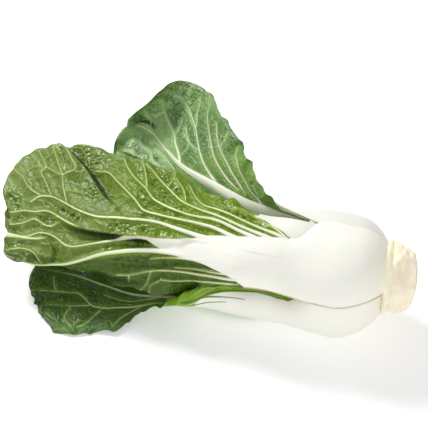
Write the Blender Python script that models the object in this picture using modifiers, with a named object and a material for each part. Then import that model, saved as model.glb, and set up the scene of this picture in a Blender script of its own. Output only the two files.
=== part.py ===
"""A whole bok choy lying on its side: eleven leaves in three whorls on a trimmed root stub.

Metres, +Z up. The table is z = 0, the trimmed root end points to +X and the leaf tips to -X.
Each leaf has two objects: its white stalk, which runs on as the midrib, and its green blade, a
thin sheet in two wings that join past the end of the midrib.
"""

import bmesh
import bpy
import numpy as np

MM = 0.001  # sizes below are in millimetres; add_object turns them into metres

# Where the finished part's origin, the middle of its footprint on the table, lies in the
# drawing that the points below are taken from.
ORIGIN = np.array((-20.0, 55.5, 0.0))

# The head's own line, from which the stalks of a whorl stand off: x, y, z.
HEAD_LINE = np.array([
    (-180, 20, 30),
    (-60, 16, 38),
    (0, 8, 42),
    (50, 2, 41),
    (90, 0, 40),
    (118, 3, 43),
    (140, 4, 44),
], float)

# The three whorls where their stalks crowd together: places along x, radius of the outer face
# round the head's line, and thickness in the middle of the stalk.
OUTER_WHORL = dict(
    x=(116.5, 111, 103, 90, 70),
    radius=(25, 31.5, 37.2, 41, 40.8),
    thickness=(5, 6.5, 8, 9, 8.5),
)
MIDDLE_WHORL = dict(
    x=(114.5, 110, 102, 88, 70),
    radius=(17.5, 22.3, 26.4, 29.5, 29.5),
    thickness=(4, 5, 6, 6.5, 6),
)
HEART_WHORL = dict(
    x=(112.5, 108, 100, 86, 70),
    radius=(12.5, 16.5, 19.3, 20.8, 19),
    thickness=(3, 4, 4.5, 4.5, 4),
)

EDGE_THICKNESS = 1.5  # a stalk's thickness at its edges
BLADE_THICKNESS = 0.8
STALK_GAP = 0.35  # clearance between a stalk and the blade that grows from its sides
END_GAP = 0.8  # clearance past the midrib's end, where the two wings join
TIP_CUT = 0.5  # the last section lies this far short of the tip, so that it keeps a width
LEAST_WING = 2.5  # a wing starts where it is this wide
BLADE_SINK = 0.7  # the midrib stands this far out of the blade's outer face
RIB_HEIGHT = 1.3  # the side ribs stand this far out of the blade
RIB_LEAN = 0.85  # how far a side rib runs forwards for each step outwards
RIB_FADE = 12.0  # a wing narrower than this has lower ribs
EDGE_SCALLOP = 1.6  # how far the edge runs out at each side rib
WAVE_WING = 30.0  # a wing narrower than this waves less
WAVE_LAG = 1.7  # the two wings wave out of step, in radians
FULL = 1000.0  # stalk half width where the stalk is the whole leaf


def head_line(x):
    """Side and height of the head's own line at x."""
    return np.interp(x, HEAD_LINE[:, 0], HEAD_LINE[:, 1]), np.interp(x, HEAD_LINE[:, 0], HEAD_LINE[:, 2])


def around_head(x, radius, azimuth, shift=(0.0, 0.0)):
    """A point at that radius round the head's line. Azimuth 0 is the front (-Y), 90 degrees is up."""
    y, z = head_line(x)
    a = np.radians(azimuth)
    return (x, y + shift[0] - radius * np.cos(a), z + shift[1] + radius * np.sin(a))


def root_stations(whorl, low, middle, high, tuck=(0.0, 0.0), swell=0.0):
    """Stations of a stalk from the stub to the end of the crowded part.

    low, middle and high are azimuths of its edges and midrib. tuck draws an edge inwards, under
    the next stalk, and swell pushes the middle of the bulge outwards.
    """
    most = max(whorl["radius"])
    rows = []
    for x, radius, thickness in zip(whorl["x"], whorl["radius"], whorl["thickness"]):
        share = radius / most
        rows.append((
            around_head(x, radius + swell * share**2, middle),
            around_head(x, radius - tuck[0], low),
            around_head(x, radius - tuck[1], high),
            FULL, FULL, thickness,
        ))
    return rows


# Each leaf is a list of stations from the root to the tip: midrib, low edge, high edge (low and
# high by azimuth round the head), the stalk's half width towards each edge, and its thickness.
# Points are on the outer face.

TOP_LEAF = root_stations(OUTER_WHORL, 16, 60, 107, swell=0.4) + [
    ((51, -22, 74), (53, -35, 52), (53, -7, 78.5), FULL, 15, 6.5),
    ((37, -22, 74.5), (40, -33, 51), (37, 5, 78), FULL, 13, 5.5),
    ((18, -20, 74), (20, -31, 47), (11, 27, 76), 25, 9, 4.5),
    ((-7, -13, 71), (-5, -26, 37), (-17, 40, 75.5), 13, 4.5, 3.6),
    ((-40, -8, 65), (-37, -27, 28), (-55, 63, 74), 5, 3, 3.0),
    ((-75, -7, 56), (-74, -21, 26), (-96, 78, 70), 2.4, 2.4, 2.5),
    ((-113, -4, 46), (-112, -11, 28), (-142, 92, 61), 1.8, 1.8, 2.1),
    ((-143, 5, 38), (-141, -13, 28), (-174, 81, 51), 1.4, 1.4, 1.8),
    ((-158, 9, 34), (-156, -7, 29), (-180, 57, 42), 1.2, 1.2, 1.6),
    ((-165, 12, 32), (-164, 4, 31), (-170, 20, 34), 1.2, 1.2, 1.6),
]

BACK_MIDDLE_LEAF = root_stations(MIDDLE_WHORL, 117, 152, 200) + [
    ((51, 32, 59), (57, 21, 71), (46, 38, 40), FULL, FULL, 5.0),
    ((32, 43, 55), (38, 29, 76), (28, 48, 35), 12, 11, 4.5),
    ((12, 56, 51), (21, 50, 80), (8, 58, 31), 7, 7, 3.8),
    ((-19, 82, 46), (3, 82, 84), (-22, 72, 27), 3.6, 3.6, 3.0),
    ((-46, 105, 42), (-20, 120, 86), (-52, 82, 24), 2.4, 2.4, 2.5),
    ((-66, 130, 40), (-40, 151, 86), (-82, 99, 23), 1.8, 1.8, 2.1),
    ((-84, 150, 39), (-64, 160, 82), (-103, 117, 25), 1.4, 1.4, 1.8),
    ((-98, 156, 39), (-86, 150, 69), (-112, 133, 31), 1.2, 1.2, 1.6),
    ((-106, 152, 42), (-102, 147, 54), (-111, 146, 37), 1.2, 1.2, 1.6),
]

FRONT_LEAF = root_stations(OUTER_WHORL, -97, -46, 20, tuck=(0.0, 3.4)) + [
    ((52, -26, 14), (52, 2, 4), (53, -23, 37), FULL, 21, 6.0),
    ((34, -23, 13), (34, 5, 4), (34, -19, 36), 16, 15, 5.0),
    ((12, -19, 11), (12, 8, 3), (8, -19, 33), 9, 9, 4.4),
    ((-11, -13, 9), (-11, 12, 3), (-16, -23, 25), 5, 5, 3.6),
    ((-37, -8, 6), (-34, 13, 2), (-41, -24, 9), 2.6, 2.6, 2.8),
    ((-62, -6, 3), (-60, 14, 1.5), (-58, -37, 3), 2, 2, 2.3),
    ((-86, 1, 1.5), (-84, 16, 1), (-86, -48, 0.3), 1.5, 1.5, 2.0),
    ((-111, 8, 1.5), (-110, 17, 1), (-114, -47, 0), 1.2, 1.2, 1.8),
    ((-130, 8, 3), (-131, 15, 3), (-136, -25, 2), 1.2, 1.2, 1.6),
    ((-141, 7, 5), (-142, 12, 6), (-146, -5, 4), 1.2, 1.2, 1.6),
]

BACK_LEAF = root_stations(OUTER_WHORL, 104, 150, 197, tuck=(3.3, 0.0), swell=7.0) + [
    ((50, 50, 54), (50, 31, 72), (50, 52, 28), FULL, FULL, 6.0),
    ((34, 62, 44), (34, 54, 58), (34, 63, 23), 14, 14, 5.0),
    ((10, 80, 31), (10, 88, 46), (12, 72, 14), 6, 6, 4.0),
    ((-20, 97, 15), (-18, 120, 24), (-20, 82, 5), 3, 3, 3.0),
    ((-50, 108, 5), (-46, 139, 7), (-52, 85, 2), 2, 2, 2.4),
    ((-80, 112, 1.5), (-76, 139, 0), (-82, 88, 1), 1.4, 1.4, 2.0),
    ((-103, 113, 2.5), (-101, 124, 2), (-103, 102, 3), 1.2, 1.2, 1.6),
]

UNDER_LEAF = root_stations(OUTER_WHORL, 201, 231, 259) + [
    ((50, 26, 12), (50, 41, 24), (50, 11, 5), FULL, FULL, 6.0),
    ((30, 33, 8), (30, 50, 16), (30, 15, 3), 10, 10, 5.0),
    ((5, 40, 4), (5, 62, 9), (5, 19, 2), 6, 6, 4.0),
    ((-30, 46, 2), (-30, 72, 4), (-30, 21, 1), 3, 3, 3.0),
    ((-65, 50, 1.5), (-65, 76, 1), (-65, 24, 0.5), 2, 2, 2.4),
    ((-95, 51, 1.5), (-95, 68, 1), (-95, 32, 1), 1.4, 1.4, 2.0),
    ((-110, 51, 3), (-110, 57, 3), (-110, 45, 3), 1.2, 1.2, 1.6),
]

TOP_MIDDLE_LEAF = root_stations(MIDDLE_WHORL, 45, 78, 113) + [
    ((51, -3, 71), (51, -20, 64), (51, 16, 70.5), FULL, FULL, 4.5),
    ((29, 0, 70), (29, -20, 60), (29, 25, 69), 17, FULL, 3.8),
    ((0, 8, 66), (0, -13, 56), (-4, 36, 68), 6, 6, 3.2),
    ((-40, 12, 58), (-38, -10, 47), (-46, 46, 65), 3, 3, 2.6),
    ((-75, 14, 50), (-73, -7, 41), (-84, 48, 58), 1.8, 1.8, 2.0),
    ((-100, 18, 43), (-99, -2, 35), (-106, 42, 50), 1.2, 1.2, 1.6),
    ((-110, 21, 41), (-110, 14, 39), (-112, 30, 44), 1.2, 1.2, 1.6),
]

FRONT_MIDDLE_LEAF = root_stations(MIDDLE_WHORL, -47, -4, 41) + [
    ((52, -18, 44), (52, -15, 25), (52, -17, 59), FULL, FULL, 4.5),
    ((28, -13, 42), (28, -9, 22), (28, -13, 58), 10, 10, 3.8),
    ((0, -9, 36), (0, -4, 18), (0, -9, 49), 5, 5, 3.2),
    ((-35, -4, 29), (-35, 4, 15), (-35, -7, 40), 2.6, 2.6, 2.6),
    ((-62, 1, 26), (-62, 8, 14), (-62, -4, 37), 1.6, 1.6, 2.0),
    ((-78, 4, 23), (-78, 7, 20), (-78, 2, 27), 1.2, 1.2, 1.6),
]

UNDER_MIDDLE_LEAF = root_stations(MIDDLE_WHORL, 204, 256, 309) + [
    ((50, 9, 14), (50, 33, 26), (50, -12, 21), FULL, FULL, 4.5),
    ((28, 14, 13), (28, 38, 23), (28, -6, 17), 11, 11, 3.8),
    ((0, 20, 12), (0, 46, 21), (0, -3, 14), 5, 5, 3.2),
    ((-35, 25, 11), (-35, 54, 18), (-35, -2, 11), 2.6, 2.6, 2.6),
    ((-68, 28, 11), (-68, 52, 16), (-68, 2, 11), 1.6, 1.6, 2.0),
    ((-88, 30, 12), (-88, 38, 14), (-88, 22, 12), 1.2, 1.2, 1.6),
]


# A heart leaf beyond the crowded part: share of its free length, radius, lean to the side and up,
# share of its full half angle, half width of the midrib, and thickness.
HEART_LEAF_START = 50.0
HEART_LEAF_HALF_ANGLE = 54.0
HEART_LEAF_RUN = (
    (0.0, 14.5, (5.0, 0.0), 0.98, FULL, 3.6),
    (0.3, 12.5, (9.0, -0.5), 0.95, 3.8, 3.0),
    (0.6, 12.0, (12.0, -1.5), 0.9, 2.6, 2.4),
    (0.85, 11.5, (14.0, -2.5), 0.75, 1.6, 2.0),
    (1.0, 10.5, (15.0, -3.0), 0.3, 1.0, 1.8),
)


def heart_leaf(middle, length):
    """One of the small leaves in the heart, which stand together round a line that leans back."""
    half = HEART_LEAF_HALF_ANGLE
    rows = root_stations(HEART_WHORL, middle - half, middle, middle + half)
    for share, radius, lean, spread, stalk, thickness in HEART_LEAF_RUN:
        x = HEART_LEAF_START - share * length
        rows.append((
            around_head(x, radius, middle, lean),
            around_head(x, radius, middle - half * spread, lean),
            around_head(x, radius, middle + half * spread, lean),
            stalk, stalk, thickness,
        ))
    return rows


def unit(v):
    return v / np.maximum(np.linalg.norm(v, axis=-1, keepdims=True), 1e-9)


def through(values, at, s):
    """Smooth curve through values given at rising places, read at s: cubics with averaged slopes."""
    values = np.asarray(values, float)
    slope = np.gradient(values, at, axis=0)
    s = np.clip(s, at[0], at[-1])
    i = np.clip(np.searchsorted(at, s, side="right") - 1, 0, len(at) - 2)
    span = (at[i + 1] - at[i])[..., None]
    f = (s - at[i])[..., None] / span
    return (
        values[i] * (1 + 2 * f) * (1 - f) ** 2
        + slope[i] * span * f * (1 - f) ** 2
        + values[i + 1] * (3 - 2 * f) * f**2
        + slope[i + 1] * span * f**2 * (f - 1)
    )


class Leaf:
    """The outer face of one leaf, and how far its stalk reaches across it.

    A station is a midrib point, a low edge point, a high edge point, the stalk's half width
    towards each edge, and its thickness. Places along the leaf are lengths along the midrib.
    """

    def __init__(self, stations, row_step, wave, wave_length, phase):
        self.midrib, self.low, self.high = (np.array([row[k] for row in stations], float) for k in range(3))
        steps = np.linalg.norm(np.diff(self.midrib, axis=0), axis=1)
        self.at = np.concatenate(([0.0], np.cumsum(steps)))
        self.length = self.at[-1]
        self.wave, self.wave_length, self.phase = wave, wave_length, phase
        widths = [self.section(self.at, np.full(len(self.at), side))[5] for side in (False, True)]
        self.stalk = np.minimum(np.array([row[3:5] for row in stations], float), np.stack(widths, 1))
        self.thickness = np.array([row[5] for row in stations], float)
        # Places of the cross-sections, which the stalk and the blade share so that they meet.
        self.rows = np.linspace(0.0, self.length - TIP_CUT, int(round(self.length / row_step)) + 1)

    def section(self, s, high_side):
        """Frame of the cross-section at s towards one edge, and the arc that runs to that edge."""
        m, low, high = (through(rail, self.at, s) for rail in (self.midrib, self.low, self.high))
        along = unit(through(self.midrib, self.at, s + 1.0) - through(self.midrib, self.at, s - 1.0))
        side = low - high
        side = unit(side - (side * along).sum(-1, keepdims=True) * along)
        normal = np.cross(along, side)
        outwards = np.where(high_side[..., None], -side, side)
        reach = np.where(high_side[..., None], high, low) - m
        across, rise, slip = ((reach * d).sum(-1) for d in (outwards, normal, along))
        half_turn = np.arctan2(-rise, across)
        width = np.hypot(across, rise) / np.sinc(half_turn / np.pi)
        return m, along, outwards, normal, 2 * half_turn, width, slip

    def widths(self, s, high_side):
        """Width from the midrib's middle to the edge, and the stalk's share of it."""
        low, high = (np.interp(s, self.at, self.stalk[:, k]) for k in (0, 1))
        width = self.section(s, high_side)[5]
        return width, np.minimum(np.where(high_side, high, low), width)

    def surface(self, s, q):
        """Point and outward normal at s along the midrib and q across: -1 low edge, 1 high edge.

        A section is two circular arcs that leave the midrib square to its normal and end on the
        edges. The wings wave more towards the edge.
        """
        high_side = q > 0
        m, along, outwards, normal, turn, width, slip = self.section(s, high_side)
        v = np.abs(q)
        a = turn * v
        run = width * v * np.sinc(a / np.pi)
        drop = width * v * np.sin(a / 2) * np.sinc(a / 2 / np.pi)
        facing = outwards * np.sin(a)[..., None] + normal * np.cos(a)[..., None]
        green = np.clip((width - self.widths(s, high_side)[1]) / WAVE_WING, 0.0, 1.0)
        angle = 2 * np.pi * s / self.wave_length + self.phase + WAVE_LAG * high_side
        wave = self.wave * green * v**2 * np.sin(angle)
        point = (
            m
            + outwards * run[..., None]
            - normal * drop[..., None]
            + along * (slip * v)[..., None]
            + facing * wave[..., None]
        )
        return point, facing


def on_table(points):
    """What would hang below the table rests flat on it."""
    points = points.copy()
    points[..., 2] = np.maximum(points[..., 2], 0.0)
    return points


def grid_faces(rows, columns):
    """Triangles of a grid of vertices, all split the same way, as (2, rows - 1, columns - 1, 3)."""
    j, i = np.meshgrid(np.arange(rows - 1), np.arange(columns - 1), indexing="ij")
    a = j * columns + i
    b, c, d = a + 1, a + columns, a + columns + 1
    return np.stack([np.stack([a, b, d], -1), np.stack([a, d, c], -1)])


def add_object(name, points, faces, material, collection):
    """A mesh object from points in the drawing's millimetres."""
    mesh = bpy.data.meshes.new(name)
    mesh.from_pydata(((points - ORIGIN) * MM).tolist(), [], [list(map(int, f)) for f in faces])
    work = bmesh.new()
    work.from_mesh(mesh)
    bmesh.ops.recalc_face_normals(work, faces=work.faces)
    work.to_mesh(mesh)
    work.free()
    mesh.materials.append(material)
    mesh.shade_smooth()
    piece = bpy.data.objects.new(name, mesh)
    collection.objects.link(piece)
    return piece


def closed_loft(rings):
    """Vertices and faces of a body skinned over rings of equal count, with a fan on each end."""
    count = rings.shape[1]
    points = rings.reshape(-1, 3)
    middles = np.stack([rings[0].mean(0), rings[-1].mean(0)])
    wrapped = np.concatenate([rings, rings[:, :1]], axis=1)
    index = np.arange(len(points)).reshape(len(rings), count)
    index = np.concatenate([index, index[:, :1]], axis=1).ravel()
    faces = index[grid_faces(len(wrapped), count + 1).reshape(-1, 3)]
    around = np.arange(count)
    after = (around + 1) % count
    last = len(points) - count
    first_fan = np.stack([np.full(count, len(points)), after, around], 1)
    last_fan = np.stack([np.full(count, len(points) + 1), last + around, last + after], 1)
    return np.concatenate([points, middles]), np.concatenate([faces, first_fan, last_fan])


def add_stalk(name, leaf, columns, material, collection):
    """The white stalk and midrib: a section thick in the middle, lofted to the midrib's end."""
    s = leaf.rows[:-1, None].copy()
    s[-1] -= END_GAP
    share = np.linspace(-1.0, 1.0, columns + 1)[None, :]
    s, share = np.broadcast_arrays(s, share)
    width, half = leaf.widths(s, share > 0)
    outer, facing = leaf.surface(s, share * half / width)
    middle = np.interp(s, leaf.at, leaf.thickness)
    edge = np.minimum(EDGE_THICKNESS, middle)
    deep = edge + (middle - edge) * (1 - share**2)
    outer = on_table(outer)
    inner = outer - facing * deep[..., None]
    points, faces = closed_loft(np.concatenate([outer, inner[:, ::-1]], axis=1))
    return add_object(name, points, faces, material, collection)


def blade_grid(leaf, columns):
    """Points, outward normals and kept cells of the blade's outer face.

    The grid's columns run from the low edge to the low side of the stalk, then from its high side
    to the high edge. Its rows lean forwards as the side ribs do, and every other row is a rib.
    """
    s0 = leaf.rows
    wing = [np.subtract(*leaf.widths(s0, np.full(len(s0), side))) > LEAST_WING for side in (False, True)]
    starts = [s0[np.argmax(w)] for w in wing]
    s0 = s0[s0 >= min(starts)][:, None]
    rows = len(s0) - 1

    inner_share = np.linspace(0.0, 1.0, columns + 1)
    share = np.concatenate([inner_share[::-1], inner_share])[None, :]
    high_side = np.repeat([False, True], columns + 1)[None, :]
    s0, share, high_side = np.broadcast_arrays(s0, share, high_side)
    left = leaf.length - s0
    reach = share * np.subtract(*leaf.widths(s0, high_side))
    s = s0 + left * (1 - np.exp(-RIB_LEAN * reach / left))
    s = np.minimum(s, leaf.length - TIP_CUT)

    width, half = leaf.widths(s, high_side)
    half = np.minimum(half + STALK_GAP, width)
    rib = (np.arange(rows + 1) % 2 == 0).astype(float)[:, None]
    scallop = np.where(share == 1.0, EDGE_SCALLOP * (rib - 0.5) / np.maximum(width, RIB_FADE), 0.0)
    q = (half + (width - half) * (share + scallop)) / width
    points, facing = leaf.surface(s, np.where(high_side, q, -q))
    fade = np.sqrt(np.sin(np.pi * share)) * np.clip((width - half) / RIB_FADE, 0.0, 1.0)
    points = points + facing * (RIB_HEIGHT * rib * fade - BLADE_SINK)[..., None]

    row, column = np.meshgrid(np.arange(rows), np.arange(2 * columns + 1), indexing="ij")
    low_cells = (column < columns) & (s0[:-1, :1] >= starts[0])
    high_cells = (column > columns) & (s0[:-1, :1] >= starts[1])
    joined_cells = (column == columns) & (row == rows - 1)
    return on_table(points), facing, low_cells | high_cells | joined_cells


def add_blade(name, leaf, columns, material, collection):
    """The green blade: a sheet over both wings, given its thickness by Solidify."""
    points, facing, kept = blade_grid(leaf, columns)
    faces = grid_faces(*points.shape[:2])[:, kept].reshape(-1, 3)
    used, faces = np.unique(faces, return_inverse=True)
    piece = add_object(name, points.reshape(-1, 3)[used], faces.reshape(-1, 3), material, collection)
    turn_outwards(piece.data, facing.reshape(-1, 3)[used])
    shell = piece.modifiers.new("Blade thickness", "SOLIDIFY")
    shell.thickness = BLADE_THICKNESS * MM
    shell.offset = -1.0
    return piece


def turn_outwards(mesh, outward):
    """Turns the whole sheet over if its faces look away from the given directions."""
    agree = sum(face.normal.dot(outward[face.vertices[0]]) for face in mesh.polygons)
    if agree < 0:
        mesh.flip_normals()


# The stub's profile, x and radius: the core that carries the whorls, then the drum and its cut face.
STUB_CORE = ((97.0, 3.0), (110.0, 7.5), (113.5, 9.5), (115.3, 14.0), (117.4, 17.0))
STUB_DRUM = (
    (118.2, 22.5),
    (120.5, 25.0),
    (125.0, 24.6),
    (130.0, 22.8),
    (134.5, 21.2),
    (137.5, 19.8),
    (138.6, 18.0),
)
STUB_SIDES = 22
# Leaf scars round the drum: how many, their height as a share of the radius, the angle of the
# first in radians, and how far they turn from one ring of the profile to the next.
STUB_SCARS = ((3, 0.045, 0.9, 0.4), (5, 0.03, 2.1, -0.5))
STUB_CUT_FROM = 130.0  # the drum leans into its oblique cut from here
STUB_CUT_LEAN = (0.10, -0.07)  # lean of the cut face towards the front and upwards


def add_stub(name, material, collection):
    """The trimmed root stub. The scars of cut leaves make the drum uneven round its axis."""
    a = np.linspace(0.0, 2 * np.pi, STUB_SIDES, endpoint=False)
    rings = []
    for k, (x, radius) in enumerate(STUB_CORE + STUB_DRUM):
        knobs = sum(
            height * np.sin(count * a + first + turn * k) for count, height, first, turn in STUB_SCARS
        )
        r = radius * (1 + knobs * (k >= len(STUB_CORE)))
        y, z = head_line(x)
        share = max(0.0, (x - STUB_CUT_FROM) / (STUB_DRUM[-1][0] - STUB_CUT_FROM))
        lean = share * r * (STUB_CUT_LEAN[0] * np.cos(a) + STUB_CUT_LEAN[1] * np.sin(a))
        rings.append(np.stack([x + lean, y - r * np.cos(a), z + r * np.sin(a)], 1))
    points, faces = closed_loft(np.array(rings))
    return add_object(name, points, faces, material, collection)


LEAF_GREEN = (0.16, 0.31, 0.06)
LEAF_GREENS = {
    "top_leaf": (0.21, 0.34, 0.08),
    "front_leaf": (0.05, 0.14, 0.03),
    "back_middle_leaf": (0.08, 0.20, 0.07),
}


def natural_material(name, colour, roughness):
    material = bpy.data.materials.new(name)
    material.use_nodes = True
    shader = material.node_tree.nodes["Principled BSDF"]
    shader.inputs["Base Color"].default_value = (*colour, 1.0)
    shader.inputs["Roughness"].default_value = roughness
    shader.inputs["Metallic"].default_value = 0.0
    material.diffuse_color = (*colour, 1.0)
    return material


# For each leaf: its stations, the step between its sections, the columns across its stalk and
# across each wing, and the height, length and phase of its waves.
LEAVES = {
    "top_leaf": (TOP_LEAF, 9.5, 8, 7, (2.0, 38.0, 0.5)),
    "front_leaf": (FRONT_LEAF, 10.5, 8, 5, (1.6, 24.0, 1.0)),
    "back_leaf": (BACK_LEAF, 12.0, 6, 4, (1.4, 30.0, 2.0)),
    "under_leaf": (UNDER_LEAF, 12.0, 6, 4, (0.8, 30.0, 0.0)),
    "back_middle_leaf": (BACK_MIDDLE_LEAF, 10.0, 6, 5, (1.6, 30.0, 0.7)),
    "top_middle_leaf": (TOP_MIDDLE_LEAF, 12.0, 6, 4, (0.6, 34.0, 0.2)),
    "front_middle_leaf": (FRONT_MIDDLE_LEAF, 13.0, 6, 3, (0.8, 30.0, 0.9)),
    "under_middle_leaf": (UNDER_MIDDLE_LEAF, 13.0, 6, 3, (0.8, 32.0, 0.4)),
    "heart_leaf_1": (heart_leaf(40.0, 80.0), 14.0, 4, 2, (0.5, 20.0, 0.0)),
    "heart_leaf_2": (heart_leaf(160.0, 66.0), 14.0, 4, 2, (0.5, 20.0, 0.0)),
    "heart_leaf_3": (heart_leaf(280.0, 52.0), 14.0, 4, 2, (0.5, 20.0, 0.0)),
}


def main():
    for old in list(bpy.data.objects):
        bpy.data.objects.remove(old, do_unlink=True)
    collection = bpy.data.collections.new("Bok choy")
    bpy.context.scene.collection.children.link(collection)
    add_stub("root_stub", natural_material("Root stub", (0.86, 0.76, 0.56), 0.6), collection)
    for name, (stations, row_step, stalk_columns, wing_columns, waves) in LEAVES.items():
        leaf = Leaf(stations, row_step, *waves)
        white = natural_material(f"White stalk of {name}", (0.84, 0.87, 0.78), 0.35)
        green = natural_material(f"Green blade of {name}", LEAF_GREENS.get(name, LEAF_GREEN), 0.45)
        add_stalk(f"{name}_stalk", leaf, stalk_columns, white, collection)
        add_blade(f"{name}_blade", leaf, wing_columns, green, collection)


main()
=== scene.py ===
import math

import bpy
import numpy as np
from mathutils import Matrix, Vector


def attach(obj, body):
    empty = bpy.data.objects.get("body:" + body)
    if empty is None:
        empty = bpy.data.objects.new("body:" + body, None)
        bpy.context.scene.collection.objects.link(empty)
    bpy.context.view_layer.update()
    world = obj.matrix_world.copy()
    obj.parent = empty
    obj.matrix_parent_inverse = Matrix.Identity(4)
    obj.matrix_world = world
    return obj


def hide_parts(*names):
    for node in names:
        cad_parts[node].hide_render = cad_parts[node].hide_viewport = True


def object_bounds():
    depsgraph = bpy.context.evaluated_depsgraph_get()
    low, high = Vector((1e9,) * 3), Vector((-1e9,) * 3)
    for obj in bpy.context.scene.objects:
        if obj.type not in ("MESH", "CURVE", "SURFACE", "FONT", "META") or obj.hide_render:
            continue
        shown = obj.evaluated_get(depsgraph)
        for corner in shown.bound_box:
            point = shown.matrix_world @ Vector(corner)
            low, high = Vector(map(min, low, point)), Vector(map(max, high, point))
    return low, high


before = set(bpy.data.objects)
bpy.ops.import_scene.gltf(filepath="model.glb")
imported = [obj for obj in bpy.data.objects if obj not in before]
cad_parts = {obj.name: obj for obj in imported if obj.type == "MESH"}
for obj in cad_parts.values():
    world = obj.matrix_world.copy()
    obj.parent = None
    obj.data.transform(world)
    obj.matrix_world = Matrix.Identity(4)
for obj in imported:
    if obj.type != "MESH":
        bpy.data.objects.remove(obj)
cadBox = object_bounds()

# The looks of a whole bok choy that lies on its side. Sizes are in millimetres in the model's own
# drawing, where a leaf is worked out on s, the length along its midrib from the root, and w, the
# length across it: minus towards the low edge, plus towards the high edge.

mm = 0.001
drawingOrigin = np.array((-20.0, 55.5, 0.0))  # where the model's origin lies in the drawing

# the head's middle line: x, y and z of places along it
headLine = np.array([
    (-180, 20, 30), (-60, 16, 38), (0, 8, 42), (50, 2, 41), (90, 0, 40), (118, 3, 43), (140, 4, 44),
], float)

# the crowded leaf bases: place along the head, radius round its line, thickness
outerWhorl = {
    "x": (116.5, 111, 103, 90, 70), "radius": (25, 31.5, 37.2, 41, 40.8), "thick": (5, 6.5, 8, 9, 8.5),
}
middleWhorl = {
    "x": (114.5, 110, 102, 88, 70), "radius": (17.5, 22.3, 26.4, 29.5, 29.5), "thick": (4, 5, 6, 6.5, 6),
}
heartWhorl = {
    "x": (112.5, 108, 100, 86, 70), "radius": (12.5, 16.5, 19.3, 20.8, 19), "thick": (3, 4, 4.5, 4.5, 4),
}

full = 1000.0  # stalk half width where the stalk is the whole leaf

flesh = {
    "edgeThick": 1.5,  # a stalk at its edges
    "bladeThick": 0.8,
    "marginThick": 0.45,
    "bladeSink": 0.7,  # the stalk stands this far out of the blade's outer face
    "waveWing": 30.0,  # a wing this wide waves fully
    "waveLag": 1.7,  # radians between the waves of the two wings
    "rootReach": 4.0,  # the stalk runs this far into the stub
    "allStalk": 58.0,  # up to here from the root, and over the next 4 mm less, a leaf is stalk alone
    "tipRound": 7.0,  # the blade rounds off over this length
    "tipRows": 12,
    "squeeze": 2.5,  # what comes this near to a side of the model's box is squeezed
    "aboveTable": 0.25,  # the inner face stays this far above the table
}

head = bpy.data.collections.new("bok choy")
bpy.context.scene.collection.children.link(head)


# The pattern tools: every one takes whole arrays of s and w

def softStep(low, high, value):
    # a smooth ramp from 0 at low to 1 at high: three times the share squared less twice its cube
    f = np.clip((value - low) / (high - low), 0.0, 1.0)
    return f * f * (3 - 2 * f)


def softNoise(x, y, seed):
    # value noise from -1 to 1: a seeded lattice of numbers, blended smoothly between its corners
    lattice = np.random.default_rng(seed).uniform(-1, 1, (64, 64))
    i, j = np.floor(x).astype(int), np.floor(y).astype(int)
    fx, fy = x - i, y - j
    fx, fy = fx * fx * (3 - 2 * fx), fy * fy * (3 - 2 * fy)
    a, b = lattice[i % 64, j % 64], lattice[(i + 1) % 64, j % 64]
    c, d = lattice[i % 64, (j + 1) % 64], lattice[(i + 1) % 64, (j + 1) % 64]
    return (a * (1 - fx) + b * fx) * (1 - fy) + (c * (1 - fx) + d * fx) * fy


def netDistance(x, y, seed):
    # distance to the border between the two nearest seeds of a jittered grid, in cells: half of what
    # the second lies further away than the first
    rng = np.random.default_rng(seed)
    shiftX, shiftY = rng.uniform(0.1, 0.9, (2, 64, 64))
    i, j = np.floor(x).astype(int), np.floor(y).astype(int)
    nearest = np.full(x.shape, 9.0)
    second = np.full(x.shape, 9.0)
    for di in (-1, 0, 1):
        for dj in (-1, 0, 1):
            ci, cj = i + di, j + dj
            d = np.hypot(ci + shiftX[ci % 64, cj % 64] - x, cj + shiftY[ci % 64, cj % 64] - y)
            second = np.where(d < nearest, nearest, np.minimum(second, d))
            nearest = np.minimum(nearest, d)
    return (second - nearest) / 2


def through(values, at, s):
    # a smooth curve through values given at rising places: cubics with averaged slopes
    values = np.asarray(values, float)
    slope = np.gradient(values, at, axis=0)
    s = np.clip(s, at[0], at[-1])
    i = np.clip(np.searchsorted(at, s, side="right") - 1, 0, len(at) - 2)
    span = (at[i + 1] - at[i])[..., None]
    f = (s - at[i])[..., None] / span
    return (
        values[i] * (1 + 2 * f) * (1 - f) ** 2
        + slope[i] * span * f * (1 - f) ** 2
        + values[i + 1] * (3 - 2 * f) * f**2
        + slope[i + 1] * span * f**2 * (f - 1)
    )


def lengthAlong(points):
    # the length along a line at each of its points: the running sum of its straight steps
    return np.concatenate(([0.0], np.cumsum(np.linalg.norm(np.diff(points, axis=0), axis=1))))


def smoothLine(points):
    # the same curve through a line's own points, read at equal lengths, four to a step
    points = np.array(points, float)
    at = lengthAlong(points)
    return through(points, at, np.linspace(0.0, 1.0, 4 * (len(points) - 1) + 1) * at[-1])


def fromLine(line, s, w):
    # distance to a line of straight steps, the share along it of the nearest place, and the side,
    # which is the sign of the step crossed with the way to the place
    start, step = line[:-1], np.diff(line, axis=0)
    toPoint = np.stack([s, w], -1)[:, None, :] - start
    share = np.clip((toPoint * step).sum(-1) / np.maximum((step**2).sum(-1), 1e-9), 0.0, 1.0)
    away = toPoint - share[..., None] * step
    distance = np.linalg.norm(away, axis=-1)
    k = distance.argmin(1)
    pick = np.arange(len(s))
    side = step[k, 0] * toPoint[pick, k, 1] - step[k, 1] * toPoint[pick, k, 0]
    return distance[pick, k], (k + share[pick, k]) / len(step), side


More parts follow.
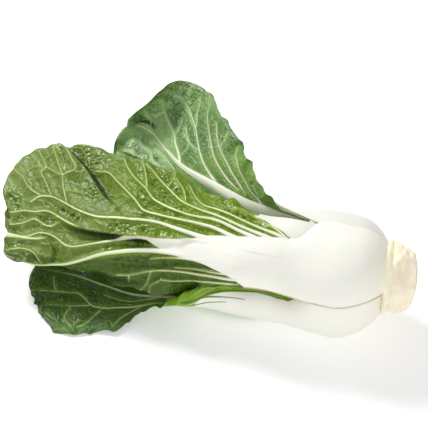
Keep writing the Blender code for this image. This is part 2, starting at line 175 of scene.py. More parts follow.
def nearLine(points, reach, s, w):
    # a smooth line through the points, which places lie in the box that stands reach away from it
    # all round, and what fromLine says of those
    line = smoothLine(points)
    low, high = line.min(0) - reach, line.max(0) + reach
    near = (s > low[0]) & (s < high[0]) & (w > low[1]) & (w < high[1])
    return (line, near) + fromLine(line, s[near], w[near])


def veinDepth(veins, s, w, reach=9.0):
    # how deep a place lies inside the widest vein over it: vein half width less the distance to
    # its middle line, which is below 0 outside. A vein widens over the first 12%, and narrows in
    # ratio, with the power 0.7 of the share, to its end. The second value is that vein's half width.
    depth = np.full(s.shape, -reach)
    girth = np.zeros(s.shape)
    for startHalf, endHalf, points in veins:
        _, near, distance, share, _ = nearLine(points, reach, s, w)
        half = startHalf * (endHalf / startHalf) ** share**0.7 * (0.4 + 0.6 * softStep(0.0, 0.12, share))
        girth[near] = np.where(half - distance > depth[near], half, girth[near])
        depth[near] = np.maximum(depth[near], half - distance)
    return depth, girth


def foldOver(folds, s, w):
    # a ridge along a line: it rises slowly from its left side, drops steeply on its right into a
    # trench, and the ground comes back slowly past that. Each is e to the power of minus the
    # distance's share of its reach, raised to 1.3 on the left and squared on the right. The crest
    # leans over the trench. Gives the lift, the lean along s and along w, and the share of painted
    # shade that darkens the trench as if the crest shadowed it.
    lift, leanS, leanW, creaseShade = np.zeros((4,) + s.shape)
    for height, gentle, steep, trench, far, lean, points in folds:
        line, near, distance, share, side = nearLine(points, 3 * gentle, s, w)
        step = np.diff(line, axis=0)
        step = step[np.clip((share * (len(line) - 1)).astype(int), 0, len(line) - 2)]
        step = step / np.linalg.norm(step, axis=1, keepdims=True)
        ends = np.sin(np.pi * np.clip(share, 0.06, 0.97)) ** 0.6
        hill = height * np.exp(-((distance / gentle) ** 1.3))
        drop = (height + trench) * np.exp(-((distance / steep) ** 2))
        drop = drop - trench * np.exp(-((distance / far) ** 2))
        lift[near] += ends * np.where(side > 0, hill, drop)
        crest = np.where(side > 0, 0.3 * gentle, 0.5 * steep)
        over = lean * ends * np.exp(-((distance / crest) ** 2))
        leanS[near] += over * step[:, 1]
        leanW[near] -= over * step[:, 0]
        # painted shade: the crease tint is darkest in the trench one steep width past the crest, and stronger
        # for a deeper trench
        inside = np.where(side < 0, distance - steep, 3.0 * distance + steep)
        tint = min(1.0, trench / 4) * ends * np.exp(-((inside / (0.9 * steep)) ** 2))
        creaseShade[near] = np.maximum(creaseShade[near], tint)
    return lift, leanS, leanW, creaseShade


def pinched(s, w, bites, middle):
    # draws places near a bite towards the middle of the leaf: by its depth at the bite itself and
    # less with the square of the distance from it; a depth below 0 pushes a lobe outwards
    for biteS, biteW, reach, depth in bites:
        share = depth * np.exp(-((s - biteS) ** 2 + (w - biteW) ** 2) / reach**2)
        away = np.hypot(biteS - middle[0], biteW - middle[1])
        s = s - share * (biteS - middle[0]) / away
        w = w - share * (biteW - middle[1]) / away
    return s, w


def insideBox(points):
    # keeps every place inside the model's box: what goes past a line just inside a side goes only
    # the squeeze times one less e to the power of minus its share, so that it never reaches the side.
    # The table's side stays as it is.
    squeeze = flesh["squeeze"]
    for axis in range(3):
        low, high = (cadBox[end][axis] / mm + drawingOrigin[axis] for end in (0, 1))
        over = np.maximum(points[..., axis] - (high - squeeze), 0.0)
        points[..., axis] -= over - squeeze * (1 - np.exp(-over / squeeze))
        if axis < 2:
            under = np.maximum(low + squeeze - points[..., axis], 0.0)
            points[..., axis] += under - squeeze * (1 - np.exp(-under / squeeze))
    return points


# The plan of a leaf: rails through its stations, as in the model

def aroundHead(x, radius, azimuth, shift=(0.0, 0.0)):
    # a point at that radius round the head's line, azimuth 0 at the front and 90 upwards: the cosine
    # goes to the front and the sine upwards
    y, z = np.interp(x, headLine[:, 0], headLine[:, 1]), np.interp(x, headLine[:, 0], headLine[:, 2])
    a = math.radians(azimuth)
    return (x, y + shift[0] - radius * math.cos(a), z + shift[1] + radius * math.sin(a))


def rootStations(whorl, low, middle, high, tuck=(0.0, 0.0), swell=0.0):
    # stations of the crowded part, from the stub on, at the whorl's radii round the head: tuck is
    # taken off an edge's radius, swell comes to the middle's with the square of its share of the widest
    most = max(whorl["radius"])
    return [(
        aroundHead(x, radius + swell * (radius / most) ** 2, middle),
        aroundHead(x, radius - tuck[0], low),
        aroundHead(x, radius - tuck[1], high),
        full, full, thick,
    ) for x, radius, thick in zip(whorl["x"], whorl["radius"], whorl["thick"])]


heartRun = (  # share of the length, radius, lean, share of the spread, stalk, thickness
    (0.0, 14.5, (5.0, 0.0), 0.98, full, 3.6),
    (0.3, 12.5, (9.0, -0.5), 0.95, 3.8, 3.0),
    (0.6, 12.0, (12.0, -1.5), 0.9, 2.6, 2.4),
    (0.85, 11.5, (14.0, -2.5), 0.75, 1.6, 2.0),
    (1.0, 10.5, (15.0, -3.0), 0.3, 1.0, 1.8),
)


def heartStations(middle, length):
    # a small leaf of the heart, which leans back with the others: past the crowded part each row
    # lies at its share of the length, round the head at its own radius, narrower and narrower
    half = 54.0  # degrees from the middle to an edge
    rows = rootStations(heartWhorl, middle - half, middle, middle + half)
    for share, radius, lean, spread, stalk, thick in heartRun:
        x = 50.0 - share * length
        rows.append((
            aroundHead(x, radius, middle, lean),
            aroundHead(x, radius, middle - half * spread, lean),
            aroundHead(x, radius, middle + half * spread, lean),
            stalk, stalk, thick,
        ))
    return rows


def unit(v):
    # a vector divided by its own length
    return v / np.maximum(np.linalg.norm(v, axis=-1, keepdims=True), 1e-9)


def planLeaf(look):
    # the leaf's rails, with s at each station the length along the midrib up to it, and stalk half
    # widths that are no more than the arc from the midrib to the edge
    stations = look["stations"]
    midrib, low, high = (np.array([row[k] for row in stations], float) for k in range(3))
    at = lengthAlong(midrib)
    leaf = {"wave": look["wave"], "midrib": midrib, "low": low, "high": high, "at": at, "length": at[-1]}
    reach = [section(leaf, at, np.full(len(at), side))[5] for side in (False, True)]
    leaf["stalk"] = np.minimum(np.array([row[3:5] for row in stations], float), np.stack(reach, 1))
    leaf["thick"] = np.array([row[5] for row in stations], float)
    return leaf


def section(leaf, s, highSide):
    # frame of the cross-section at s towards one edge, and the arc that runs to that edge: the arc
    # turns twice the angle by which its chord falls below the flat, and is as long as the chord
    # over the sine of half the turn, times half the turn
    m, low, high = (through(leaf[rail], leaf["at"], s) for rail in ("midrib", "low", "high"))
    middle = np.maximum(s, 1.0)  # before the root the direction stays the root's
    ahead, behind = (through(leaf["midrib"], leaf["at"], middle + step) for step in (1.0, -1.0))
    along = unit(ahead - behind)
    side = low - high
    side = unit(side - (side * along).sum(-1, keepdims=True) * along)
    normal = np.cross(along, side)
    outwards = np.where(highSide[..., None], -side, side)
    reach = np.where(highSide[..., None], high, low) - m
    across, rise, slip = ((reach * d).sum(-1) for d in (outwards, normal, along))
    halfTurn = np.arctan2(-rise, across)
    width = np.hypot(across, rise) / np.sinc(halfTurn / np.pi)
    return m, along, outwards, normal, 2 * halfTurn, width, slip


def stalkHalf(leaf, s, highSide, width):
    # stalk half width at s: straight between the stations, and no more than the arc to the edge
    low, high = (np.interp(s, leaf["at"], leaf["stalk"][:, k]) for k in (0, 1))
    return np.minimum(np.where(highSide, high, low), width)


def leafFace(leaf, s, w):
    # the outer face: two circular arcs leave the midrib square to its normal and end on the edges.
    # At a share v of the way an arc has turned v of its turn. The wings wave as a sine of s that
    # grows with the square of v, and before the root the face runs straight on.
    highSide = w > 0
    m, along, outwards, normal, turn, width, slip = section(leaf, s, highSide)
    v = np.abs(w) / width
    a = turn * v
    run = width * v * np.sinc(a / np.pi)
    drop = width * v * np.sin(a / 2) * np.sinc(a / 2 / np.pi)
    facing = outwards * np.sin(a)[..., None] + normal * np.cos(a)[..., None]
    green = np.clip((width - stalkHalf(leaf, s, highSide, width)) / flesh["waveWing"], 0.0, 1.0)
    height, waveLength, phase = leaf["wave"]
    wave = height * green * np.minimum(v, 1.0) ** 2 * np.sin(
        2 * np.pi * s / waveLength + phase + flesh["waveLag"] * highSide)
    point = (
        m + along * np.minimum(s, 0.0)[..., None] + outwards * run[..., None] - normal * drop[..., None]
        + along * (slip * v)[..., None] + facing * wave[..., None]
    )
    return point, facing, width


def rolledFace(leaf, s, w, crest, radius, most):
    # past the crest the blade leaves the arc, turns outwards round a radius, and runs on straight
    # once it has turned far enough
    sign = np.sign(w)
    held = sign * np.minimum(np.abs(w), crest)
    point, facing, width = leafFace(leaf, s, held)
    before, _, _ = leafFace(leaf, s, held - sign * 0.5)
    tangent = unit(point - before)
    beyond = np.maximum(np.abs(w) - crest, 0.0)
    turn = np.minimum(beyond / radius, most)
    straight = (beyond - turn * radius)[..., None]
    sine, cosine = np.sin(turn)[..., None], np.cos(turn)[..., None]
    point = point + radius[..., None] * (tangent * sine + facing * (1 - cosine))
    point = point + straight * (tangent * cosine + facing * sine)
    return point, facing * cosine - tangent * sine, width


def sideVeins(leaf, first, last, count, half):
    # the side ribs of a leaf that the photograph hides: each leaves the midrib at a low angle and
    # bends outwards, with the power 1.5 of its share, to 0.9 of the width
    veins = []
    for side in (-1, 1):
        for k in range(count):
            share = (k + 0.5 * (side > 0)) / count
            start = first + (last - first) * share
            run = 24 + 16 * (1 - share)  # how far it goes along the leaf
            reach = np.array((0.0, 0.25, 0.5, 0.75, 1.0))
            s = start + run * reach * (1.5 - 0.5 * reach)
            s = np.minimum(s, leaf["length"] - 2)
            width = leafFace(leaf, s, np.full(5, side * 1.0))[2]
            w = side * (1.0 + (0.9 * width - 1.0) * reach**1.5)
            veins.append((half * (1 - 0.4 * share), 0.45, np.stack([s, w], 1)))
    return veins


def closedSkin(outer, inner):
    # outer and inner faces on the same grid, joined round the margin: the inner face has the outer
    # one's squares turned over, and a ring of squares runs from margin to margin
    rows, columns = outer.shape[:2]
    count = rows * columns
    j, i = np.meshgrid(np.arange(rows - 1), np.arange(columns - 1), indexing="ij")
    a = (j * columns + i).ravel()
    top = np.stack([a, a + 1, a + columns + 1, a + columns], 1)
    index = np.arange(count).reshape(rows, columns)
    loop = np.concatenate([index[0, :-1], index[:-1, -1], index[-1, :0:-1], index[:0:-1, 0]])
    after = np.roll(loop, -1)
    rim = np.stack([after, loop, loop + count, after + count], 1)
    faces = np.concatenate([top, top[:, ::-1] + count, rim])
    return np.concatenate([outer.reshape(-1, 3), inner.reshape(-1, 3)]), faces


def addPiece(name, points, faceSets, material, values, uv=None):
    # a mesh piece from points in the drawing's millimetres, with its values kept on the points;
    # each face set is an array of faces with the same number of corners
    mesh = bpy.data.meshes.new(name)
    mesh.vertices.add(len(points))
    mesh.vertices.foreach_set("co", ((points - drawingOrigin) * mm).astype(np.float32).ravel())
    corners = np.concatenate([faces.ravel() for faces in faceSets])
    counts = np.concatenate([np.full(len(faces), faces.shape[1]) for faces in faceSets])
    mesh.loops.add(len(corners))
    mesh.loops.foreach_set("vertex_index", corners.astype(np.int32))
    mesh.polygons.add(len(counts))
    mesh.polygons.foreach_set("loop_start", (np.cumsum(counts) - counts).astype(np.int32))
    mesh.polygons.foreach_set("loop_total", counts.astype(np.int32))
    mesh.polygons.foreach_set("use_smooth", np.ones(len(counts), bool))
    mesh.update(calc_edges=True)
    for key, value in values.items():
        attribute = mesh.attributes.new(key, "FLOAT", "POINT")
        attribute.data.foreach_set("value", value.astype(np.float32).ravel())
    if uv is not None:
        layer = mesh.uv_layers.new(name="leafMm")
        layer.data.foreach_set("uv", uv[corners].astype(np.float32).ravel())
    mesh.materials.append(material)
    piece = bpy.data.objects.new(name, mesh)
    head.objects.link(piece)
    return piece


# Materials

def linear(hexColour):
    # sRGB hex to linear colour: a low channel over 12.92, any other the power 2.4 of its share
    channels = [int(hexColour[k:k + 2], 16) / 255 for k in (1, 3, 5)]
    return tuple(c / 12.92 if c <= 0.04045 else ((c + 0.055) / 1.055) ** 2.4 for c in channels) + (1.0,)


def node(tree, kind, sockets=None, **settings):
    # adds a node, sets its settings, and gives each named socket a value or a link
    added = tree.nodes.new("ShaderNode" + kind)
    for key, value in settings.items():
        setattr(added, key, value)
    for key, value in (sockets or {}).items():
        if isinstance(value, bpy.types.NodeSocket):
            tree.links.new(value, added.inputs[key])
        else:
            added.inputs[key].default_value = value
    return added


def newMaterial(name):
    # a material whose node tree is still empty
    material = bpy.data.materials.new(name)
    material.use_nodes = True
    material.node_tree.nodes.clear()
    return material, material.node_tree


def paintLayers(tree, got, ground, layers):
    # colours laid over a ground: each layer reads one value, turns its stretch from start to end into
    # a soft share that rises to most, and covers what is below it by that share
    colour = linear(ground)
    for source, start, end, most, tint in layers:
        share = node(tree, "MapRange", {
            "Value": got[source], "From Min": start, "From Max": end, "To Max": most,
        }, interpolation_type="SMOOTHSTEP").outputs["Result"]
        tint = linear(tint) if isinstance(tint, str) else tint
        colour = node(tree, "Mix", {0: share, 6: colour, 7: tint}, data_type="RGBA").outputs[2]
    return colour


def leafMaterial(name, look):
    # Living leaf tissue, grown, not coated: a waxy skin that gleams softly over green flesh, with
    # pale veins that show through it and a smooth watery white stalk with faint long fibres
    material, tree = newMaterial(name)
    place = node(tree, "TexCoord").outputs["Object"]
    leafUv = node(tree, "UVMap", uv_map="leafMm").outputs["UV"]
    got = {}
    for key in ("whiteDepth", "netDepth", "along", "hollow", "creaseShade", "rim", "girth", "shade", "lively"):
        got[key] = node(tree, "Attribute", attribute_name=key,
                        attribute_type="GEOMETRY").outputs["Fac"]
    # fibres in the stalk, 2.5 mm apart and 70 mm long, along the leaf
    fibreUv = node(tree, "Mapping", {"Vector": leafUv, "Scale": (100 / 2.5, 100 / 70, 1.0)})
    for key, vector, scale, detail in (
        ("broad", place, 1 / 0.014, 3.0),  # clouds 14 mm across
        ("small", place, 1 / 0.004, 2.0),  # grain 4 mm across
        ("fibre", fibreUv.outputs[0], 1.0, 2.0),
    ):
        got[key] = node(tree, "TexNoise", {
            "Vector": vector, "Scale": scale, "Detail": detail}).outputs[0]
    # the finest net of veins, its lines bent by a noise 9 mm across
    bend = node(tree, "TexNoise", {"Vector": leafUv, "Scale": 100 / 9}).outputs["Color"]
    bend = node(tree, "VectorMath", {0: bend, "Scale": 0.03}, operation="SCALE").outputs[0]
    bent = node(tree, "VectorMath", {0: leafUv, 1: bend}, operation="ADD").outputs[0]
    got["mesh"] = node(tree, "TexVoronoi", {"Vector": bent, "Scale": 100 / look["meshSize"]},
                       feature="DISTANCE_TO_EDGE").outputs["Distance"]
    # dry places on the low side's margin: millimetres from it, less three times the clouds
    got["dry"] = node(tree, "Math", {0: got["broad"], 1: -3.0, 2: got["rim"]},
                      operation="MULTIPLY_ADD").outputs[0]
    # soft ramps from one value at start to another at end: how white the flesh is, how matt the
    # blade, and the ridges of its net and of its veins
    for key, source, start, end, low, high in (
        ("white", "whiteDepth", -0.4, 0.3, 0.0, 1.0),
        ("matt", "lively", 1.0, 0.4, look["gloss"], look["gloss"] + 0.22),
        ("netRidge", "netDepth", 1.0, 0.1, 0.0, 0.5),
        ("veinRidge", "whiteDepth", -1.2, 0.1, 0.0, 1.3),
    ):
        got[key] = node(tree, "MapRange", {
            "Value": got[source], "From Min": start, "From Max": end, "To Min": low, "To Max": high,
        }, interpolation_type="SMOOTHSTEP").outputs["Result"]

    blade = paintLayers(tree, got, look["young"], (
        ("along", look["youngFrom"], look["youngTo"], 1.0, look["blade"]),
        # lighter towards the far end; on the back middle leaf this is painted light on its dimly lit end
        ("along", look["tipFrom"], look["tipFrom"] + 0.17, 0.8, look["tip"]),
        # painted shade on the wing that turns away
        ("shade", 0.0, 1.0, 1.0, look["under"]),
        ("broad", 0.35, 0.7, look["mottle"], look["deep"]),
        ("small", 0.5, 0.75, 0.16, look["bloom"]),
        # painted shade in the sunken hollows of the puffs
        ("hollow", 0.15, 0.9, 0.9, look["deep"]),
        ("mesh", 0.09, 0.0, look["fineShow"], look["vein"]),
        ("netDepth", 0.4, 0.1, look["netShow"], look["vein"]),
        ("whiteDepth", -1.6, 0.0, 0.22, look["vein"]),
        # painted shade: near-black in the fold trenches and in the front leaf's slits
        ("creaseShade", 0.1, 0.8, 0.95, look["dark"]),
    ))
    stalk = paintLayers(tree, got, look["stalk"], (
        ("fibre", 0.42, 0.72, 0.14, look["fibre"]),
        ("broad", 0.5, 0.75, 0.2, look["fibre"]),
        ("along", 0.10, 0.0, 0.7, look["rootEnd"]),
        ("along", 0.48, 0.72, 0.6, look["rib"]),
        ("dry", 0.4, -1.2, look["rust"], "#b0893a"),
    ))
    rib = paintLayers(tree, got, look["rib"], (("girth", 0.3, 1.5, 1.0, stalk),))
    colour = node(tree, "Mix", {0: got["white"], 6: blade, 7: rib}, data_type="RGBA")
    # the blade gleams in patches, the stalk is evenly smooth
    gloss = node(tree, "Mix", {0: got["white"], 2: got["matt"], 3: 0.4}, data_type="FLOAT")

    # relief too fine for the mesh: the flesh puckers between the finest veins, the net of veins
    # stands out of it, and the fibres of the stalk stand up
    pucker = got["small"]
    for key in ("mesh", "netRidge", "veinRidge"):
        pucker = node(tree, "Math", {0: pucker, 1: got[key]}, operation="ADD").outputs[0]
    fibres = node(tree, "Math", {0: got["fibre"], 1: 0.1}, operation="MULTIPLY").outputs[0]
    height = node(tree, "Mix", {0: got["white"], 2: pucker, 3: fibres}, data_type="FLOAT")
    bump = node(tree, "Bump", {
        "Height": height.outputs[0], "Distance": 0.0011, "Strength": look["pucker"]})
    shader = node(tree, "BsdfPrincipled", {
        "Base Color": colour.outputs[2], "Roughness": gloss.outputs[0], "Normal": bump.outputs["Normal"],
        "IOR": 1.4, "Subsurface Weight": 0.06, "Subsurface Radius": (0.004, 0.005, 0.002),
        "Subsurface Scale": 0.3,
    })
    node(tree, "OutputMaterial", {"Surface": shader.outputs["BSDF"]})
    return material


def stubMaterial():
    # The trimmed stem, grown and cut with a knife: matt cream flesh with tan, slightly dried rims
    # round the leaf scars, and a paler cut face
    material, tree = newMaterial("Cream stem flesh, grown and knife-cut")
    place = node(tree, "TexCoord").outputs["Object"]
    got = {}
    for key in ("scar", "collar", "cut"):
        got[key] = node(tree, "Attribute", attribute_name=key,
                        attribute_type="GEOMETRY").outputs["Fac"]
    # clouds 9 mm across and grain 1.6 mm across
    for key, scale, detail in (("cloud", 1 / 0.009, 4.0), ("grain", 1 / 0.0016, 3.0)):
        got[key] = node(tree, "TexNoise", {
            "Vector": place, "Scale": scale, "Detail": detail}).outputs[0]
    colour = paintLayers(tree, got, "#fdf3dc", (
        ("cloud", 0.35, 0.7, 1.0, "#f6e8c8"),
        ("collar", 0.0, 1.0, 0.7, "#f6f5da"),
        ("scar", 0.2, 1.0, 0.75, "#d9b97c"),
        ("cut", 0.0, 1.0, 1.0, "#f8f0e8"),
    ))
    bump = node(tree, "Bump", {"Height": got["grain"], "Distance": 0.0006, "Strength": 0.4})
    shader = node(tree, "BsdfPrincipled", {
        "Base Color": colour, "Roughness": 0.5, "Normal": bump.outputs["Normal"],
        "Subsurface Weight": 0.12, "Subsurface Radius": (0.004, 0.003, 0.002), "Subsurface Scale": 0.6,
    })
    node(tree, "OutputMaterial", {"Surface": shader.outputs["BSDF"]})
    return material


# The leaves. young and blade are the blade's colours near the stalk and near the tip, deep the
# colour of the dark clouds and of the painted shade in the hollows between the veins, bloom of the
# waxy tops, under the painted shade on the wing turned away, tip a lighter colour at the far end
# that is painted light on the back middle leaf, and dark the near-black painted shade in fold
# trenches and slits. A station is (midrib, low edge, high edge, stalk half width on the low and high
# side, thickness), a row of white or margin (s, low side, high side), a bite (s, w, reach, depth), a
# bumpy or smooth patch (s, w, reach), and a vein or slot (half width at its start, at its end, route).

freshGreen = {
    "blade": "#647b2a", "young": "#698800", "deep": "#38520f", "bloom": "#88a046", "under": "#5c7224",
    "tip": "#70863a", "dark": "#1d300b", "vein": "#b8cc64", "rib": "#d4e0a2", "stalk": "#f4f3ea",
    "fibre": "#e6e8d6", "rootEnd": "#f5efdc",
    "youngFrom": 0.42, "youngTo": 0.8, "tipFrom": 0.78,  # shares of the leaf's length
    "mottle": 0.25, "netShow": 0.27, "fineShow": 0.1, "rust": 0.0,  # how much of each colour shows
    "meshSize": 3.2, "gloss": 0.22, "pucker": 0.5,
}

topGreen = dict(freshGreen, under="#3d5a08", rust=0.7)

# the back middle leaf's light tip colour is painted light for its dimly lit end
darkGreen = dict(
    freshGreen, blade="#668a4a", young="#7ba33e", under="#668a4a", tip="#a2c680", deep="#36582c",
    bloom="#8eac76", dark="#1c3114", vein="#ccdca0", rib="#dfe9c4", stalk="#f2f3e0", fibre="#dfe4bc",
    mottle=0.35, netShow=0.4, gloss=0.34, tipFrom=0.7,
)

tableGreen = dict(
    freshGreen, blade="#466a22", young="#82b000", under="#426520", tip="#46691f", deep="#1f3a0e",
    bloom="#5f8038", dark="#0e1c06", vein="#a2c060", rib="#c8dc90", youngFrom=0.5, youngTo=0.72,
    mottle=0.4, netShow=0.35, fineShow=0.08, gloss=0.3,
)

hiddenGreen = dict(
    freshGreen, blade="#5a8038", young="#7da22e", under="#5a8038", deep="#3c6222", bloom="#7a9b5a",
    stalk="#e9e8df",
)

topLeaf = {
    "stations": rootStations(outerWhorl, 16, 60, 107, swell=0.4) + [
        ((51, -22, 74), (53, -35, 52), (53, -7, 78.5), full, 15, 6.5),
        ((37, -22, 74.5), (40, -33, 51), (37, 5, 78), full, 13, 5.5),
        ((18, -20, 74), (20, -31, 47), (11, 27, 76), 25, 9, 4.5),
        ((-7, -13, 71), (-5, -26, 37), (-17, 40, 75.5), 13, 4.5, 3.6),
        ((-40, -8, 65), (-37, -27, 28), (-55, 63, 74), 5, 3, 3.0),
        ((-75, -7, 56), (-74, -21, 26), (-96, 78, 70), 2.4, 2.4, 2.5),
        ((-113, -4, 46), (-112, -12, 29), (-142, 92, 61), 1.8, 1.8, 2.1),
        ((-143, 5, 38), (-141, -14, 31), (-174, 81, 51), 1.4, 1.4, 1.8),
        ((-158, 9, 34), (-156, -8, 32), (-180, 57, 42), 1.2, 1.2, 1.6),
        ((-165, 12, 32), (-164, 4, 31), (-170, 20, 34), 1.2, 1.2, 1.6),
    ],
    "wave": (2.0, 38.0, 0.5),
    "grid": (40, 205, 62, 122),  # rows in the stalk and blade, columns on the low and high side
    "bladeFrom": 76.0,
    "white": ((86, 40, 13), (106, 21.5, 9), (112, 18.5, 7.5), (126, 15.5, 5), (139, 13.6, 1.0),
              (153, 11.3, 0.2), (160, 9.0, 0), (169, 4, 0), (178, -2, -2)),
    "margin": ((0, 0, 0), (84, 0, 0), (98, -2.7, 0), (115, -7, 0), (132, -5, 0), (155, 0, 0), (190, 0, 0),
               (206, 0, 5.5), (215, 0, 3), (228, 0, 0), (246, 0, 1), (258, 0, -1), (269, 0, -1), (280, 0, 0),
               (300, 0, 0)),
    "scallop": (0.8, 8.0, 0.0),
    "bites": ((278, 61, 5, 4), (292, 23, 5, 4.5), (294, 12, 4, 2), (295, 2, 4, 5), (291, -12, 6, -1.5)),
    "puff": 2.4,
    "sag": 1.8,
    "cell": 11.0,
    "bumpy": ((240, 29, 8), (228, 21, 7), (213, 45, 8), (196, 13, 6), (185, -5, 8), (225, 80, 10),
              (150, 45, 10), (165, 60, 9), (255, 14, 9), (150, 22, 6)),
    "smooth": ((246, 50, 10), (196, 30, 8), (221, 9, 5), (266, 30, 8), (205, 25, 8), (275, 5, 7),
               (280, -18, 7)),
    "veins": [
        (3.3, 0.3, [(100, 0), (121, 2), (135, 3.5), (150, 7), (163, 11), (189, 16), (212, 20), (224, 26),
                     (235, 33), (244, 37), (255, 36), (265, 30)]),
        (0.4, 0.18, [(255, 36), (264, 41), (271, 54), (277, 61)]),
        (0.4, 0.18, [(233, 31), (236, 49), (236, 59), (225, 63), (229, 74), (236, 92)]),
        (0.35, 0.18, [(236, 59), (240, 70), (243, 80), (245, 86), (243, 92)]),
        (0.35, 0.18, [(247, 38), (251, 50), (254, 57), (250, 64), (252, 70), (255, 77)]),
        (0.3, 0.18, [(250, 64), (243, 61), (236, 59)]),
        (0.7, 0.22, [(222, 12), (231, 16), (241, 21), (250, 24), (263, 22), (275, 23), (287, 20)]),
        (0.4, 0.2, [(243, 16), (250, 12), (256, 13), (262, 16), (273, 13), (287, 10)]),
        (0.3, 1.5, [(255, 2), (269, 0), (285, 1), (297, 1)]),
        (2.8, 0.2, [(92, 5), (108, 8), (122, 11), (137, 13), (152, 15), (164, 18), (174, 22), (181, 33),
                    (188, 43), (195, 53), (203, 64), (213, 68)]),
        (2.4, 0.2, [(84, 8), (98, 12), (118, 17), (146, 20), (159, 26), (167, 32), (173, 43), (181, 54),
                    (187, 66), (190, 76)]),
        (0.4, 0.18, [(172, 43), (173, 54), (177, 76)]),
        (2.2, 0.2, [(78, 10), (90, 14), (104, 18), (118, 21), (134, 25), (146, 30), (154, 39), (164, 54),
                    (170, 66), (174, 73)]),
        (0.4, 0.18, [(157, 43), (153, 51), (152, 62)]),
        (1.8, 0.28, [(74, 13), (86, 18), (104, 24), (120, 27), (131, 30), (137, 38), (141, 48)]),
        (0.35, 0.18, [(143, 30), (145, 41), (151, 53)]),
        (1.2, 0.18, [(74, 13), (91, 29), (104, 36)]),
        (2.6, 0.22, [(152, -3), (164, -2), (172, 0), (180, 1.5), (190, 2), (202, 1), (215, -1), (236, -2),
                     (248, 5), (258, 6), (271, 2), (294, -1)]),
        (3.4, 0.7, [(110, -8), (130, -9.3), (144, -10), (159, -9.2), (172, -8.3), (193, -8), (209, -9.5),
                    (220, -12), (234, -15), (253, -18), (271, -20)]),
        (0.4, 0.2, [(257, -17), (265, -10), (273, -9), (282, -10), (289, -12)]),
        (2.6, 0.2, [(128, -12.5), (139, -13), (149, -13.2), (158, -13.6), (169, -14.4)]),
        (1.4, 0.15, [(100, -16.5), (112, -18.4), (123, -19.3), (135, -19.7), (150, -20)]),
        (1.5, 0.28, [(96, -20), (109, -21.8), (123, -22.8), (135, -24), (145, -23.3), (156, -22.6),
                     (168, -23), (184, -25), (194, -24)]),
        (0.9, 0.22, [(104, -25), (115, -26.2), (122, -27), (135, -29.5), (150, -30), (161, -29)]),
        (0.4, 0.18, [(168, -23), (173, -33), (182, -44)]),
        (0.35, 0.18, [(185, -25), (186, -31)]),
        (0.35, 0.18, [(161, -29), (171, -36), (173, -44)]),
    ],
    "folds": [  # height, gentle, steep, trench, far, lean, line
        (5.0, 20.0, 3.0, 6.0, 10.0, 0.8,
         [(244, 98), (229, 79), (220, 66), (214, 54), (210, 45), (205, 36), (197, 27)]),
        (5.0, 14.0, 2.6, 4.0, 8.0, 2.5,
         [(150, 0), (170, 1), (190, 5), (209, 9.5), (225, 13), (240, 18)]),
        (1.4, 6.0, 1.4, 2.4, 4.0, 0.6,
         [(256, 2), (250, -4), (249, -10), (253, -15)]),
        (1.0, 6.0, 1.1, 1.4, 4.0, 0.6,
         [(277, 34), (283, 38), (291, 37)]),
        (0.4, 3.0, 1.2, 2.0, 4.0, 0.0,
         [(108, -19), (127, -20.6), (149, -20.4), (171, -18.6), (200, -14)]),
        (0.6, 10.0, 6.0, 3.0, 12.0, 0.0,
         [(172, -30), (196, -24), (214, -22), (228, -26)]),
    ],
    "shadeFrom": -9.0,
    "colours": topGreen,
    "slot": "light_green_blade",
}

